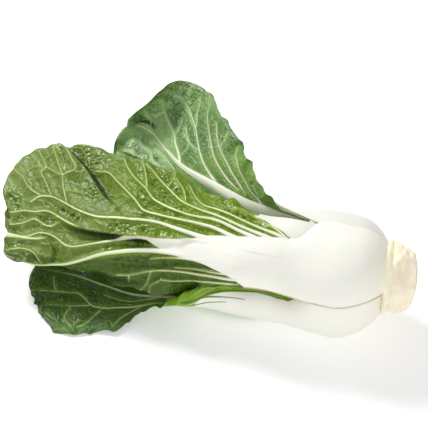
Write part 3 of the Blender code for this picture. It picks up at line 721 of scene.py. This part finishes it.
frontLeaf = {
    "stations": rootStations(outerWhorl, -97, -46, 20, tuck=(0.0, 3.4)) + [
        ((52, -26, 14), (52, 2, 4), (53, -23, 37), full, 21, 6.0),
        ((34, -23, 13), (34, 5, 4), (34, -19, 36), 16, 15, 5.0),
        ((12, -19, 11), (12, 8, 3), (8, -19, 33), 9, 9, 4.4),
        ((-11, -13, 9), (-11, 12, 3), (-16, -26, 27), 5, 5, 3.6),
        ((-37, -8, 6), (-34, 13, 2), (-41, -30, 15), 2.6, 2.6, 2.8),
        ((-62, -6, 3), (-60, 14, 1.5), (-58, -37, 3), 2, 2, 2.3),
        ((-86, 1, 1.5), (-84, 16, 1), (-86, -48, 0.3), 1.5, 1.5, 2.0),
        ((-111, 8, 1.5), (-110, 17, 1), (-114, -47, 0), 1.2, 1.2, 1.8),
        ((-131, 9, 3), (-133, 20, 4), (-136, -25, 2), 1.2, 1.2, 1.6),
        ((-143, 8.5, 5), (-146, 17, 7), (-147, -5, 4), 1.2, 1.2, 1.6),
    ],
    "wave": (1.6, 24.0, 1.0),
    "grid": (40, 185, 44, 80),
    "bladeFrom": 70.0,
    "margin": ((0, 0, 0), (72, 0, 2.5), (82, 0, 4), (90, 0, 8), (100, 0, 10.5), (110, 0, 11.5),
               (120, 0, 12.5), (130, 0, 12.5), (140, 0, 12), (149, 0, 9), (154, 0, 3), (159, 0, -5),
               (164, 0, -9), (170, 0, -10), (176, 0, -9), (182, 0, -8), (188, 0, -5.5), (196, 0, -1),
               (210, 0, 0), (218, 0, -1), (226, 0, 3), (236, 0, 1), (246, 0, -3), (260, 0, -3), (275, 0, 0)),
    "bites": ((257, 32, 5, 3), (262, 22, 4, 1), (217, 44, 3, 2)),
    "middle": (210, 5),
    "white": ((66, 40, 30), (72, 31, 23.5), (80, 26, 23), (84, 24, 24), (93, 16, 25), (101, 12, 24.5),
              (115, 8, 23), (128, 5.5, 21), (134, 4.6, 17), (139, 4, 9), (146, 3, 3),
              (156, 2.2, 2.2), (170, 1.4, 1.4), (190, 1.0, 1.0), (215, 0.7, 0.6),
              (245, 0.35, 0.3), (268, -0.5, -0.5)),
    "slots": ((3.6, 0.3, [(146, 20.8), (128, 20.8), (116, 20), (100, 19.2)]),
              (3.0, 0.3, [(150, 12.6), (134, 14.2), (126, 15.2), (112, 16.2)])),
    "roll": {  # at each s: how far from the midrib the high wing starts to roll, and round what radius
        "crest": ((70, 60), (79, 25.5), (86, 28), (92, 29.5), (103, 31), (112, 30), (123, 29.5), (130, 29),
                  (140, 29), (150, 27), (157, 24), (163, 20), (168, 30), (176, 60), (182, 90)),
        "radius": ((90, 1.7), (125, 1.9), (140, 2.5), (155, 4.0)),
        "most": 2.6,  # radians
    },
    "scallop": (2.2, 5.5, 158.0),
    "puff": 1.0,
    "cell": 9.0,
    "veins": [
        (1.5, 0.3, [(114, 18.6), (126, 18.4), (136, 17.4), (146, 14), (160, 9)]),
        (1.8, 0.28, [(126, 13.5), (140, 11.5), (152, 9), (175, 9), (196, 14), (211, 20), (219, 21), (226, 17),
                     (233, 15), (238, 17), (251, 20), (264, 21)]),
        (0.5, 0.18, [(84, 26), (100, 27.5), (120, 26.5), (138, 20), (152, 15), (165, 10)]),
        (0.3, 0.18, [(100, 27.5), (108, 31), (116, 33)]),
        (0.3, 0.18, [(120, 26.5), (127, 28), (133, 27)]),
        (0.5, 0.18, [(219, 21), (226, 25), (233, 28), (243, 32), (250, 35)]),
        (0.35, 0.18, [(233, 28), (234, 41), (227, 46)]),
        (0.5, 0.18, [(211, 22), (215, 31), (219, 40), (222, 44)]),
        (0.3, 0.18, [(248, 19), (251, 14), (255, 5)]),
        (0.3, 0.18, [(247, 42), (242, 45)]),
        (0.9, 0.18, [(169, 2), (180, 4), (191, 7), (203, 8), (212, 8)]),
        (1.0, 0.18, [(170, 9), (184, 13), (193, 20), (200, 33)]),
        (0.9, 0.18, [(150, -3), (175, -8), (200, -11)]),
    ],
    "colours": tableGreen,
    "slot": "dark_green_blade",
}

backMiddleLeaf = {
    "stations": rootStations(middleWhorl, 117, 152, 200)[:-1] + [
        ((70, 27, 54.5), (70, 17, 72), (70, 28.7, 30.5), full, full, 6.0),
        ((51, 32, 59), (57, 21.5, 73), (46, 38, 40), full, full, 5.0),
        ((32, 43, 55), (38, 29, 76), (28, 48, 35), 12, 11, 4.5),
        ((12, 56, 51), (21, 50, 80), (8, 58, 31), 7, 7, 3.8),
        ((-19, 82, 46), (3, 82, 84), (-22, 72, 27), 3.6, 3.6, 3.0),
        ((-46, 105, 42), (-20, 120, 86), (-52, 82, 24), 2.4, 2.4, 2.5),
        ((-66, 130, 40), (-40, 151, 86), (-82, 99, 23), 1.8, 1.8, 2.1),
        ((-84, 150, 39), (-64, 160, 82), (-103, 117, 25), 1.4, 1.4, 1.8),
        ((-98, 156, 39), (-86, 150, 69), (-112, 133, 31), 1.2, 1.2, 1.6),
        ((-106, 152, 42), (-102, 147, 54), (-111, 146, 37), 1.2, 1.2, 1.6),
    ],
    "wave": (0.9, 30.0, 0.7),
    "grid": (36, 180, 82, 54),
    "margin": ((0, 0, 0), (42, 0, 0), (52, 2.8, 0), (78, 3, 0), (90, 1.5, 0), (103, 1.5, 0), (120, 1, 0),
               (134, 3, 0), (152, 1.5, 0), (163, 3, 0), (171, 4.5, 0), (182, 4.5, 0), (189, 6, 0),
               (201, 7, 0), (219, 5.5, 0), (240, 4, 0), (256, 4, 0), (270, 0, 0), (280, 0, 0)),
    "scallop": (1.3, 7.0, 0.0),
    "puff": 1.3,
    "cell": 9.5,
    "veins": [
        (2.6, 0.4, [(140, 0.5), (175, 0.5), (205, 1), (235, 0), (262, -2)]),
        (1.5, 0.22, [(195, -1), (204, -5), (216, -9), (223, -13), (240, -17), (248, -21), (254, -30)]),
        (0.35, 0.18, [(222, -15), (223, -23), (225, -27)]),
        (0.3, 0.18, [(248, -21), (253, -15)]),
        (1.3, 0.22, [(148, -3), (160, -6), (173, -11), (184, -17), (191, -22), (204, -30), (217, -34),
                     (226, -38), (238, -40), (245, -39)]),
        (0.4, 0.18, [(204, -31), (213, -40), (216, -46), (219, -51)]),
        (1.1, 0.22, [(128, -9), (143, -11), (155, -14), (169, -20), (184, -31), (195, -41), (200, -46),
                     (204, -55)]),
        (1.0, 0.22, [(120, -10), (134, -15), (154, -21), (169, -28), (181, -37), (188, -45)]),
        (0.3, 0.18, [(170, -34), (172, -42)]),
        (0.9, 0.22, [(101, -10), (112, -13), (129, -20), (144, -26), (155, -32), (157, -37)]),
        (0.7, 0.22, [(102, -8), (110, -16), (117, -21)]),
        (0.35, 0.18, [(188, -18), (196, -18), (205, -19), (216, -24)]),
        (0.3, 0.18, [(200, -8), (199, -14), (201, -17)]),
        (0.4, 0.18, [(195, 7), (211, 6), (222, 6), (232, 7)]),
        (0.4, 0.18, [(218, 14), (230, 15), (235, 12), (249, 13), (254, 10), (254, 5)]),
        (0.35, 0.18, [(249, 23), (253, 22), (260, 25)]),
        (0.35, 0.18, [(264, -19), (257, -10), (251, -6), (250, -1)]),
    ],
    "bites": ((271, -2, 4, 2), (265, -21, 4, 2), (256, -37, 5, 3), (219, -61, 4, 2.5), (189, -54, 5, 2),
              (262, -30, 6, -2), (246, -53, 9, -1.5)),
    "middle": (215, -15),
    "bumpy": ((248, 16, 10), (228, 13, 8), (262, -10, 8), (232, -22, 7), (196, -12, 6)),
    "folds": [
        (1.2, 6.0, 3.0, 3.6, 8.0, 0.0,
         [(262, 26), (248, 24), (232, 19), (214, 13)]),
        (1.0, 6.0, 2.4, 3.0, 7.0, 0.0,
         [(270, -8), (256, -10), (240, -6)]),
    ],
    "colours": darkGreen,
    "slot": "dark_green_blade",
}

backLeaf = {
    "stations": rootStations(outerWhorl, 104, 150, 197, tuck=(3.3, 0.0), swell=7.0)[:-1] + [
        ((70, 42.3, 64.4), (70, 14, 76), (70, 40, 28.6), full, full, 8.5),
        ((50, 50, 54), (50, 26.5, 74), (50, 52, 28), full, full, 6.0),
        ((34, 62, 44), (34, 54, 58), (34, 63, 23), 14, 14, 5.0),
        ((10, 80, 31), (10, 88, 46), (12, 72, 14), 6, 6, 4.0),
        ((-20, 97, 15), (-18, 120, 24), (-20, 82, 5), 3, 3, 3.0),
        ((-50, 108, 5), (-46, 139, 7), (-52, 85, 2), 2, 2, 2.4),
        ((-80, 112, 1.5), (-76, 139, 0), (-82, 88, 1), 1.4, 1.4, 2.0),
        ((-103, 113, 2.5), (-101, 124, 2), (-103, 102, 3), 1.2, 1.2, 1.6),
    ],
    "wave": (1.4, 30.0, 2.0),
    "grid": (36, 140, 46, 46),
    "fan": (80, 200, 6, 1.8),
}

underLeaf = {
    "stations": rootStations(outerWhorl, 201, 231, 259) + [
        ((50, 26, 12), (50, 41, 24), (50, 11, 5), full, full, 6.0),
        ((30, 33, 8), (30, 50, 16), (30, 15, 3), 10, 10, 5.0),
        ((5, 40, 4), (5, 62, 9), (5, 19, 2), 6, 6, 4.0),
        ((-30, 46, 2), (-30, 72, 4), (-30, 21, 1), 3, 3, 3.0),
        ((-65, 50, 1.5), (-65, 76, 1), (-65, 24, 0.5), 2, 2, 2.4),
        ((-95, 51, 1.5), (-95, 68, 1), (-95, 32, 1), 1.4, 1.4, 2.0),
        ((-110, 51, 3), (-110, 57, 3), (-110, 45, 3), 1.2, 1.2, 1.6),
    ],
    "wave": (0.8, 30.0, 0.0),
    "grid": (30, 120, 38, 38),
    "fan": (84, 190, 6, 1.8),
}

topMiddleLeaf = {
    "stations": rootStations(middleWhorl, 45, 78, 113)[:-1] + [
        ((70, -5, 71.5), (70, -20, 61.4), (70, 15, 73.5), full, full, 6.0),
        ((51, -3, 73), (51, -20, 64), (51, 16, 76), full, full, 4.5),
        ((29, 0, 70), (29, -20, 60), (29, 25, 69), 17, full, 3.8),
        ((0, 8, 66), (0, -13, 56), (-4, 36, 68), 6, 6, 3.2),
        ((-40, 12, 58), (-38, -10, 47), (-46, 46, 65), 3, 3, 2.6),
        ((-75, 14, 50), (-73, -7, 41), (-84, 48, 58), 1.8, 1.8, 2.0),
        ((-100, 18, 43), (-99, -2, 35), (-106, 42, 50), 1.2, 1.2, 1.6),
        ((-110, 21, 41), (-110, 14, 39), (-112, 30, 44), 1.2, 1.2, 1.6),
    ],
    "wave": (0.35, 34.0, 0.2),
    "grid": (36, 130, 34, 46),
    "bladeFrom": 80.0,
    "fan": (100, 205, 6, 1.6),
}

frontMiddleLeaf = {
    "stations": rootStations(middleWhorl, -47, -4, 41) + [
        ((52, -18, 44), (52, -15, 25), (52, -17, 59), full, full, 4.5),
        ((28, -13, 42), (28, -9, 22), (28, -13, 58), 10, 10, 3.8),
        ((0, -9, 36), (0, -4, 18), (0, -9, 49), 5, 5, 3.2),
        ((-35, -4, 29), (-35, 4, 15), (-35, -7, 40), 2.6, 2.6, 2.6),
        ((-62, 1, 26), (-62, 8, 14), (-62, -4, 37), 1.6, 1.6, 2.0),
        ((-78, 4, 23), (-78, 7, 20), (-78, 2, 27), 1.2, 1.2, 1.6),
    ],
    "wave": (0.8, 30.0, 0.9),
    "grid": (30, 110, 32, 32),
    "bladeFrom": 70.0,
    "fan": (84, 175, 5, 1.6),
}

underMiddleLeaf = {
    "stations": rootStations(middleWhorl, 204, 256, 309) + [
        ((50, 9, 14), (50, 33, 26), (50, -12, 21), full, full, 4.5),
        ((28, 14, 13), (28, 38, 23), (28, -6, 17), 11, 11, 3.8),
        ((0, 20, 12), (0, 46, 21), (0, -3, 14), 5, 5, 3.2),
        ((-35, 25, 11), (-35, 54, 18), (-35, -2, 11), 2.6, 2.6, 2.6),
        ((-68, 28, 11), (-68, 52, 16), (-68, 2, 11), 1.6, 1.6, 2.0),
        ((-88, 30, 12), (-88, 38, 14), (-88, 22, 12), 1.2, 1.2, 1.6),
    ],
    "wave": (0.8, 32.0, 0.4),
    "grid": (30, 110, 36, 36),
    "bladeFrom": 70.0,
    "fan": (84, 180, 5, 1.6),
}

hiddenLook = {  # what a leaf has that doesn't say otherwise
    "wave": (0.5, 20.0, 0.0),  # height, length, phase
    "grid": (24, 60, 24, 24),
    "bladeFrom": 66.0,  # the dense rows start here
    "taper": ((0.0, 1.0), (0.6, 1.0), (0.86, 0.0)),  # share of the length, share of the stalk
    "fan": (74, 120, 4, 1.0),  # side ribs: first, last, how many on a side, half width
    "margin": ((0, 0, 0), (300, 0, 0)),
    "scallop": (1.2, 8.0, 0.0),  # depth, length, and where the smooth margin ends
    "slots": (),
    "bumpy": (),
    "smooth": (),
    "bites": (),
    "middle": (200, 25),  # bites draw the margin towards this place
    # painted shade: the under colour covers the blade below this w
    "shadeFrom": -200.0,  # the wing is turned away below this w
    "puff": 0.7,  # height of the puffs
    "sag": 0.8,  # how far the sheet sags between the veins
    "cell": 9.5,  # size of the net's cells
    "folds": [],
    "colours": hiddenGreen,
    "slot": "green_blade",
}


def leafRows(leaf, look):
    # rows along the leaf: sparse in the stalk, dense in the blade, and spaced as a sine at the tip
    stalkRows, bladeRows = look["grid"][:2]
    length, tip = leaf["length"], flesh["tipRound"]
    return np.concatenate([
        np.linspace(-flesh["rootReach"], look["bladeFrom"], stalkRows, endpoint=False),
        np.linspace(look["bladeFrom"], length - tip, bladeRows, endpoint=False),
        length - tip + tip * np.sin(np.linspace(0.0, 0.49 * np.pi, flesh["tipRows"])),
    ])


relief = {  # the blade between its veins, in millimetres
    "patch": 28.0,  # length of the rougher and smoother patches
    "bend": (3.0, 11.0),  # the net's lines wander this far, over this length
    "fineNet": 2.8,  # cells of the fine net to one of the wide net
    "foot": 3.5,  # the puffs reach their height this far from a vein
    "wideRound": 2.2,  # a wide cell's puff reaches its height this far from the net's lines
    "fineRound": 1.3,  # a fine cell's
    "sagFrom": 8.5,  # past this distance from a vein the sheet sags by the leaf's whole sag
    "frill": (14.0, 6.0, 1.6),  # reach from the margin, length, height
    "swell": (10.0, 22.0, 1.2),  # reach from a vein, length, height
    "rib": (0.85, 1.3, 1.35),  # height and roundness of a rib, and its thickness for its height
    "groove": (0.05, 3.2, 60.0),  # in the stalk: height, width, length
}


def puffed(look, s, w, away, rim, seed):
    # puffs of the sheet between the veins, from 0 in the net's lines to 1: away from the veins and
    # the margin, wide cells where the leaf is smooth and fine ones where it is bumpy. Also gives how
    # clear of veins and how lively a place is, and the distance to the net's lines.
    wander, size = relief["bend"]
    bendS = s + wander * softNoise(s / size, w / size, seed + 1)
    bendW = w + wander * softNoise(s / size, w / size, seed + 2)
    cell, more = look["cell"], relief["fineNet"]
    net = netDistance(bendS / cell, bendW / cell, seed + 3) * cell
    netSmall = netDistance(bendS / cell * more, bendW / cell * more, seed + 4) * cell / more
    patch = relief["patch"]
    rough = softStep(-0.5, 0.5, softNoise(s / patch, w / patch, seed + 8)) * 0.7
    for key, goal in (("bumpy", 1.1), ("smooth", -0.1)):
        for patchS, patchW, reach in look[key]:
            rough += (goal - rough) * np.exp(-((s - patchS) ** 2 + (w - patchW) ** 2) / reach**2)
    rough = np.clip(rough, 0.0, 1.0)
    clear = softStep(0.0, relief["foot"], away)
    wide, fine = softStep(0.0, relief["wideRound"], net), softStep(0.0, relief["fineRound"], netSmall)
    puff = clear * softStep(0.0, 4.0, rim) * ((0.65 - 0.4 * rough) * wide + (0.2 + 0.5 * rough) * fine)
    return puff, clear, 0.35 + 0.75 * rough, net


def buildLeaf(name, look):
    # a leaf as one closed skin: its outer face is the arc face lifted along its normal by puffs,
    # folds, frills and ribs, and its inner face lies one thickness behind that
    look = {**hiddenLook, **look}
    leaf = planLeaf(look)
    lowColumns, highColumns = look["grid"][2:]
    share = np.concatenate([
        np.linspace(-1, 0, lowColumns, endpoint=False), np.linspace(0, 1, highColumns)])
    share[lowColumns] = 1e-6  # the midrib's own column goes with the high side
    s, share = np.meshgrid(leafRows(leaf, look), share, indexing="ij")
    highSide = share > 0
    seed = sum(map(ord, name))

    # width from the midrib to the margin: the rail's, what the margin adds or loses, fine scallops,
    # all of it narrowed to a round end by the root of one less the square of the share of the tip
    width = section(leaf, s, highSide)[5]
    margin = np.array(look["margin"], float)
    low, high = (through(margin[:, [k]], margin[:, 0], s)[..., 0] for k in (1, 2))
    stalk = stalkHalf(leaf, s, highSide, width)
    green = softStep(1.0, 8.0, width - stalk)  # 1 where the blade is wide
    depth, step, smoothTo = look["scallop"]
    ripple = softNoise(s / step, 7.0 * highSide, seed)
    ripple = ripple + 0.5 * softNoise(s / step * 2.3, 3.0 + 7.0 * highSide, seed)
    ripple = green * depth * ripple * softStep(smoothTo - 12, smoothTo, s)
    edge = width + np.where(highSide, high, low) + ripple
    tip = np.clip((s - (leaf["length"] - flesh["tipRound"])) / flesh["tipRound"], 0.0, 1.0)
    edge = edge * np.sqrt(1 - 0.995 * tip**2)
    rim = (1 - np.abs(share)) * edge
    s, w = pinched(s, share * edge, look["bites"], look["middle"])

    # how deep a place is inside the white: in a vein or in the stalk, less the green slots
    veins = look.get("veins") or sideVeins(leaf, *look["fan"])
    flatS, flatW = s.ravel(), w.ravel()
    ribDepth, girth = (value.reshape(s.shape) for value in veinDepth(veins, flatS, flatW))
    if "white" in look:
        reach = np.array(look["white"], float).T
        reach = np.where(s < reach[0, 0], stalk, np.where(
            highSide, np.interp(s, reach[0], reach[2]), np.interp(s, reach[0], reach[1])))
    else:
        taper = np.interp(s, *(np.array(look["taper"]) * (leaf["length"], 1.0)).T)
        reach = stalk * taper - 1.5 * softStep(0.3, 0.0, taper)
    stalkDepth = reach - np.abs(w)
    whole = np.maximum(  # the crowded part is stalk from edge to edge
        softStep(2.5, 1.2, edge - stalk), softStep(flesh["allStalk"] + 4, flesh["allStalk"], s))
    stalkDepth = np.where(whole > 0, np.maximum(stalkDepth, 6 * whole), stalkDepth)
    whiteDepth = np.maximum(stalkDepth, ribDepth)
    slotDepth = veinDepth(look["slots"], flatS, flatW)[0].reshape(s.shape)
    whiteDepth = np.minimum(whiteDepth, -slotDepth)

    # the sheet puffs up between the veins towards the inner face, and folds and frills
    away = np.maximum(-whiteDepth, 0.0)
    puff, clear, lively, net = puffed(look, s, w, away, rim, seed)
    panel = softStep(0.0, relief["sagFrom"], away)
    reach, size, height = relief["frill"]
    frill = softStep(reach, 0.0, rim) * softNoise(s / size, 5.0 * highSide, seed + 5) * height
    reach, size, height = relief["swell"]
    swell = softNoise(s / size, w / size, seed + 6) * height
    swell = softStep(0.0, reach, away) * softStep(0.0, 6.0, rim) * swell
    bladeOnly = green * softStep(0.5, 3.0, away + 0.5)
    fold, leanS, leanW, creaseShade = (
        green * value.reshape(s.shape) for value in foldOver(look["folds"], flatS, flatW))
    hollow = look["puff"] * lively * (puff - 0.35) + look["sag"] * panel
    lift = bladeOnly * (frill + swell) - green * hollow + fold

    if "roll" in look:
        roll = look["roll"]
        crest, radius = (np.interp(s, *np.array(roll[key]).T) for key in ("crest", "radius"))
        point, facing, _ = rolledFace(leaf, s, w, np.where(highSide, crest, 200.0), radius, roll["most"])
    else:
        point, facing, _ = leafFace(leaf, s, w)

    # outer face: the stalk level with the model's, the blade sunk, ribs standing out of it
    insideStalk = softStep(-4.0, 4.0, stalkDepth)
    ribTall, ribRound, ribInner = relief["rib"]
    ribHeight = ribTall * np.sqrt(np.maximum(ribDepth, 0.0) * ribRound) * (1 - insideStalk)
    height, across, length = relief["groove"]
    grooves = height * insideStalk * softNoise(w / across, s / length, seed + 7)
    outerLevel = lift - flesh["bladeSink"] * softStep(0.5, -2.5, whiteDepth) + ribHeight + grooves
    along = section(leaf, s, highSide)[1]
    point = point + along * leanS[..., None] + np.cross(along, facing) * leanW[..., None]
    outer = point + facing * outerLevel[..., None]
    outer[..., 2] = np.maximum(outer[..., 2], 0.0)

    # inner face: the stalk's flesh is thickest at the midrib, the blade is an even sheet
    thick = np.interp(s, leaf["at"], leaf["thick"])
    stalkShare = np.clip(np.abs(w) / np.maximum(stalk, 0.5), 0.0, 1.0)
    deep = flesh["edgeThick"] + np.maximum(thick - flesh["edgeThick"], 0.0) * (1 - stalkShare**2)
    sheet = flesh["marginThick"] + (flesh["bladeThick"] - flesh["marginThick"]) * softStep(0.0, 6.0, rim)
    thickness = np.where(stalkDepth > 0, deep + grooves, sheet + ribHeight * ribInner
                         + (flesh["edgeThick"] - sheet) * softStep(-3.0, 0.0, stalkDepth))
    inner = outer - facing * thickness[..., None]
    inner[..., 2] = np.maximum(inner[..., 2], flesh["aboveTable"])

    points, faces = closedSkin(insideBox(outer), insideBox(inner))
    # painted shade: below shadeFrom the blade takes the under colour and its net lines fade, as if the wing
    # lay in its own shadow
    shade = green * softStep(look["shadeFrom"], look["shadeFrom"] - 6, w)
    # painted shade in the front leaf's green slits between its ribs, half as strong as in a fold's trench
    slot = 0.5 * softStep(-0.3, 1.2, slotDepth)
    pairs = {  # outer face, inner face
        "whiteDepth": (whiteDepth,) * 2, "netDepth": (net + 0.4 * shade,) * 2,
        "rim": (np.where(highSide, 9.0, rim),) * 2, "along": (s / leaf["length"],) * 2,
        "girth": (np.where(stalkDepth > ribDepth, 9.0, girth),) * 2,
        # hollow is painted shade: the sunken middles of the puffs on the outer face and the grooves along the
        # net on the inner face
        "hollow": (0.85 * lively * puff, lively * clear * (1 - puff)),
        "creaseShade": (np.maximum(creaseShade, slot),) * 2, "lively": (lively,) * 2, "shade": (shade,) * 2,
    }
    values = {key: np.concatenate([face.ravel() for face in both]) for key, both in pairs.items()}
    uv = np.tile(np.stack([w.ravel(), s.ravel()], 1) / 100, (2, 1))
    material = leafMaterial("Leaf tissue, grown, " + name.replace("_", " "), look["colours"])
    piece = addPiece("skin_" + name, points, [faces], material, values, uv)
    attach(piece, "root")
    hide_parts(name + "_stalk", name + "_blade")
    print(name, "built,", 2 * len(faces), "triangles")


for leafName, leafLook in (
    ("top_leaf", topLeaf), ("front_leaf", frontLeaf), ("back_middle_leaf", backMiddleLeaf),
    ("back_leaf", backLeaf), ("under_leaf", underLeaf), ("top_middle_leaf", topMiddleLeaf),
    ("front_middle_leaf", frontMiddleLeaf), ("under_middle_leaf", underMiddleLeaf),
    ("heart_leaf_1", {"stations": heartStations(40.0, 80.0), "colours": freshGreen}),
    ("heart_leaf_2", {"stations": heartStations(160.0, 66.0), "colours": freshGreen}),
    ("heart_leaf_3", {"stations": heartStations(280.0, 52.0), "colours": freshGreen}),
):
    buildLeaf(leafName, leafLook)


# The root stub: a turned stem with the scars of cut leaves

stub = {
    "core": ((97.0, 3.0), (110.0, 7.5), (113.5, 9.5), (115.3, 14.0)),
    "drum": ((125.0, 24.3), (130.0, 22.9), (134.5, 21.2), (137.2, 20.0), (138.3, 18.6), (138.5, 16.0),
             (138.5, 8.0), (138.5, 0.6)),
    # where the collar ends on the leaf bases: azimuth round the head, and place along it
    "collarEnd": ((-90, 116.5), (0, 116.5), (20, 116), (32, 112), (40, 111), (50, 112.3), (62, 114),
                  (80, 115), (92, 115.8), (110, 116.5), (140, 116), (155, 114), (170, 115.5),
                  (200, 116.5), (270, 116.5)),
    "drumFrom": (121.0, 24.9, 24.0),  # place, radius, and the collar's own radius below it
    "sides": 180,
    "rings": (14, 26, 96),  # in the core, the collar and the drum
    # knobs round the drum: how many, share of the radius, where the first is, twist along the head
    "knobs": ((3, 0.045, 0.9, 0.4), (5, 0.035, 2.1, -0.5), (8, 0.012, 0.4, 0.9)),
    "cutTurn": 35.0,  # azimuth at which the cut face reaches furthest
    "cutLean": 0.21,  # its slope
    "cutHold": 19.0,  # its place there stays as drawn at this radius
}


def buildStub():
    # rings round the head's line: a core inside the leaf bases, a thin collar that lies on them up
    # to its ragged end, and a drum whose radius follows its profile and swells and dips in knobs.
    # The cut face is flat and leans, and the drum before it follows it more and more.
    a = np.linspace(0.0, 2 * np.pi, stub["sides"], endpoint=False)
    coreRings, collarRings, drumRings = stub["rings"]
    core = through(np.array(stub["core"], float), np.arange(4.0), np.linspace(0, 3, coreRings))[:, None, :]
    end = np.interp((np.degrees(a) + 90) % 360 - 90, *np.array(stub["collarEnd"], float).T)
    end = end + 0.5 * softNoise(a * 64 / (2 * np.pi), np.full(len(a), 3.0), 5)
    f = np.linspace(0.0, 1.0, collarRings)[:, None]
    start, drumRadius, collarRadius = stub["drumFrom"]
    collarX = end + (start - end) * f**1.3
    base = np.interp(
        collarX, outerWhorl["x"][::-1] + (start,), outerWhorl["radius"][::-1] + (collarRadius,))
    collarR = base - 1.2 * softStep(0.15, 0.0, f) + 1.5 * softStep(0.0, 0.5, f) * softStep(1.2, 0.7, f)
    profile = np.array(((start, drumRadius),) + stub["drum"], float)
    at = lengthAlong(profile)
    drum = through(profile, at, np.linspace(0.0, at[-1], drumRings + 1)[1:])[:, None, :]
    x, radius = (np.concatenate([core[..., k] + 0 * a, collar, drum[..., k] + 0 * a])
                 for k, collar in enumerate((collarX, collarR)))
    angle = np.broadcast_to(a, x.shape)

    body = softStep(116.0, 122.0, x)
    turn = (x - 118.0) / 3.0
    knobs = sum(height * np.sin(count * angle + first + step * turn)
                for count, height, first, step in stub["knobs"])
    rough = 0.03 * softNoise(angle * 32 / (2 * np.pi), x / 3, 11)
    cut = softStep(137.6, 138.4, x)
    r = radius * (1 + body * (1 - 0.5 * cut) * (knobs + rough))
    share = np.clip((x - 124.0) / 14.5, 0.0, 1.0)
    toTurn = np.cos(angle - math.radians(stub["cutTurn"]))
    lean = share * stub["cutLean"] * (r * toTurn - stub["cutHold"])
    y, z = (np.interp(x, headLine[:, 0], headLine[:, k]) for k in (1, 2))
    points = np.stack([x + lean, y - r * np.cos(angle), z + r * np.sin(angle)], -1)
    rings, sides = x.shape
    here = np.arange(rings * sides).reshape(rings, sides)
    after = np.roll(here, -1, axis=1)
    faces = np.stack([here[:-1], here[1:], after[1:], after[:-1]], -1).reshape(-1, 4)
    fans = np.concatenate([
        np.stack([here[0], after[0], np.full(sides, rings * sides)], 1),
        np.stack([after[-1], here[-1], np.full(sides, rings * sides + 1)], 1),
    ])
    flat = np.concatenate([points.reshape(-1, 3), points[[0, -1]].mean(1)])
    values = {
        "scar": np.maximum(0.35 * softStep(0.03, 0.07, -knobs) * body, softStep(136.6, 137.8, x)) * (1 - cut),
        "collar": softStep(121.0, 115.0, x), "cut": cut,
    }
    values = {key: np.concatenate([value.ravel(), (0, 1)]) for key, value in values.items()}
    piece = addPiece("stub", insideBox(flat), [faces, fans], stubMaterial(), values)
    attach(piece, "root")
    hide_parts("root_stub")
    print("stub built")


buildStub()


# The floor, the light and the camera

studio = {
    "dome": 0.5,  # brightness of the white room
    "key": {"power": 12.8, "size": 0.35, "place": (-0.7, 0.5, 0.9)},
    "fill": {"power": 4.5, "size": 1.2, "place": (0.35, -0.9, 0.7)},
    "tableGlow": 0.35,  # light that comes up through the table
    "floor": "#f7f7f7",
    "tableHalf": 6.0,  # metres from the middle to an edge
    "tableLevel": -0.0002,  # just under the leaves that lie on it
    "lightTarget": (0.0, 0.0, 0.04),
}

camera = {
    "place": (0.1087, -0.5763, 0.5296),
    "lookAt": (0.0146, -0.0426, 0.0749),
    "lens": 85.0,  # millimetres, on a sensor 36 mm wide
}


def buildStudio():
    # a faintly glowing table, an evenly white room and two square softboxes turned to the head
    material, tree = newMaterial("Opal acrylic light table, cast and sanded")
    place = node(tree, "TexCoord").outputs["Object"]
    grain = node(tree, "TexNoise", {"Vector": place, "Scale": 1 / 0.0025})  # 2.5 mm across
    bump = node(tree, "Bump", {"Height": grain.outputs["Fac"], "Distance": 0.0001, "Strength": 0.1})
    shader = node(tree, "BsdfPrincipled", {
        "Base Color": linear(studio["floor"]), "Roughness": 0.9, "Normal": bump.outputs["Normal"],
        "Emission Color": (1.0, 1.0, 1.0, 1.0), "Emission Strength": studio["tableGlow"],
    })
    node(tree, "OutputMaterial", {"Surface": shader.outputs["BSDF"]})
    half, level = studio["tableHalf"], studio["tableLevel"]
    mesh = bpy.data.meshes.new("floor")
    mesh.from_pydata([(x * half, y * half, level) for x, y in ((-1, -1), (1, -1), (1, 1), (-1, 1))],
                     [], [(0, 1, 2, 3)])
    mesh.materials.append(material)
    floor = bpy.data.objects.new("floor", mesh)
    bpy.context.scene.collection.objects.link(floor)

    world = bpy.data.worlds.new("White room")
    world.use_nodes = True
    room = world.node_tree.nodes["Background"]
    room.inputs["Color"].default_value = (1.0, 1.0, 1.0, 1.0)
    room.inputs["Strength"].default_value = studio["dome"]
    bpy.context.scene.world = world
    for key in ("key", "fill"):
        look = studio[key]
        light = bpy.data.lights.new(key + " softbox", "AREA")
        light.energy, light.size = look["power"], look["size"]
        lamp = bpy.data.objects.new(key + " softbox", light)
        lamp.location = look["place"]
        bpy.context.scene.collection.objects.link(lamp)
        aim(lamp, studio["lightTarget"])
        if key == "fill":
            lamp.light_linking.receiver_collection = head  # flagged off the table, which keeps its shadow


def aim(thing, target):
    # turns a light or the camera so that it looks at a place, with +Z up: it starts looking down,
    # tilts by a right angle plus the rise to the place, and turns by the place's compass angle
    direction = np.subtract(target, tuple(thing.location))
    flat = math.hypot(direction[0], direction[1])
    thing.rotation_euler = (
        math.pi / 2 + math.atan2(direction[2], flat), 0.0, math.atan2(-direction[0], direction[1]))


def buildCamera():
    # the photograph's lens at its place, turned to its target
    lens = bpy.data.cameras.new("photograph")
    lens.lens = camera["lens"]
    lens.sensor_width = 36.0
    view = bpy.data.objects.new("photograph", lens)
    view.location = camera["place"]
    bpy.context.scene.collection.objects.link(view)
    aim(view, camera["lookAt"])
    bpy.context.scene.camera = view


buildStudio()
buildCamera()
bpy.context.scene.view_settings.view_transform = "Standard"
print("studio and camera set")
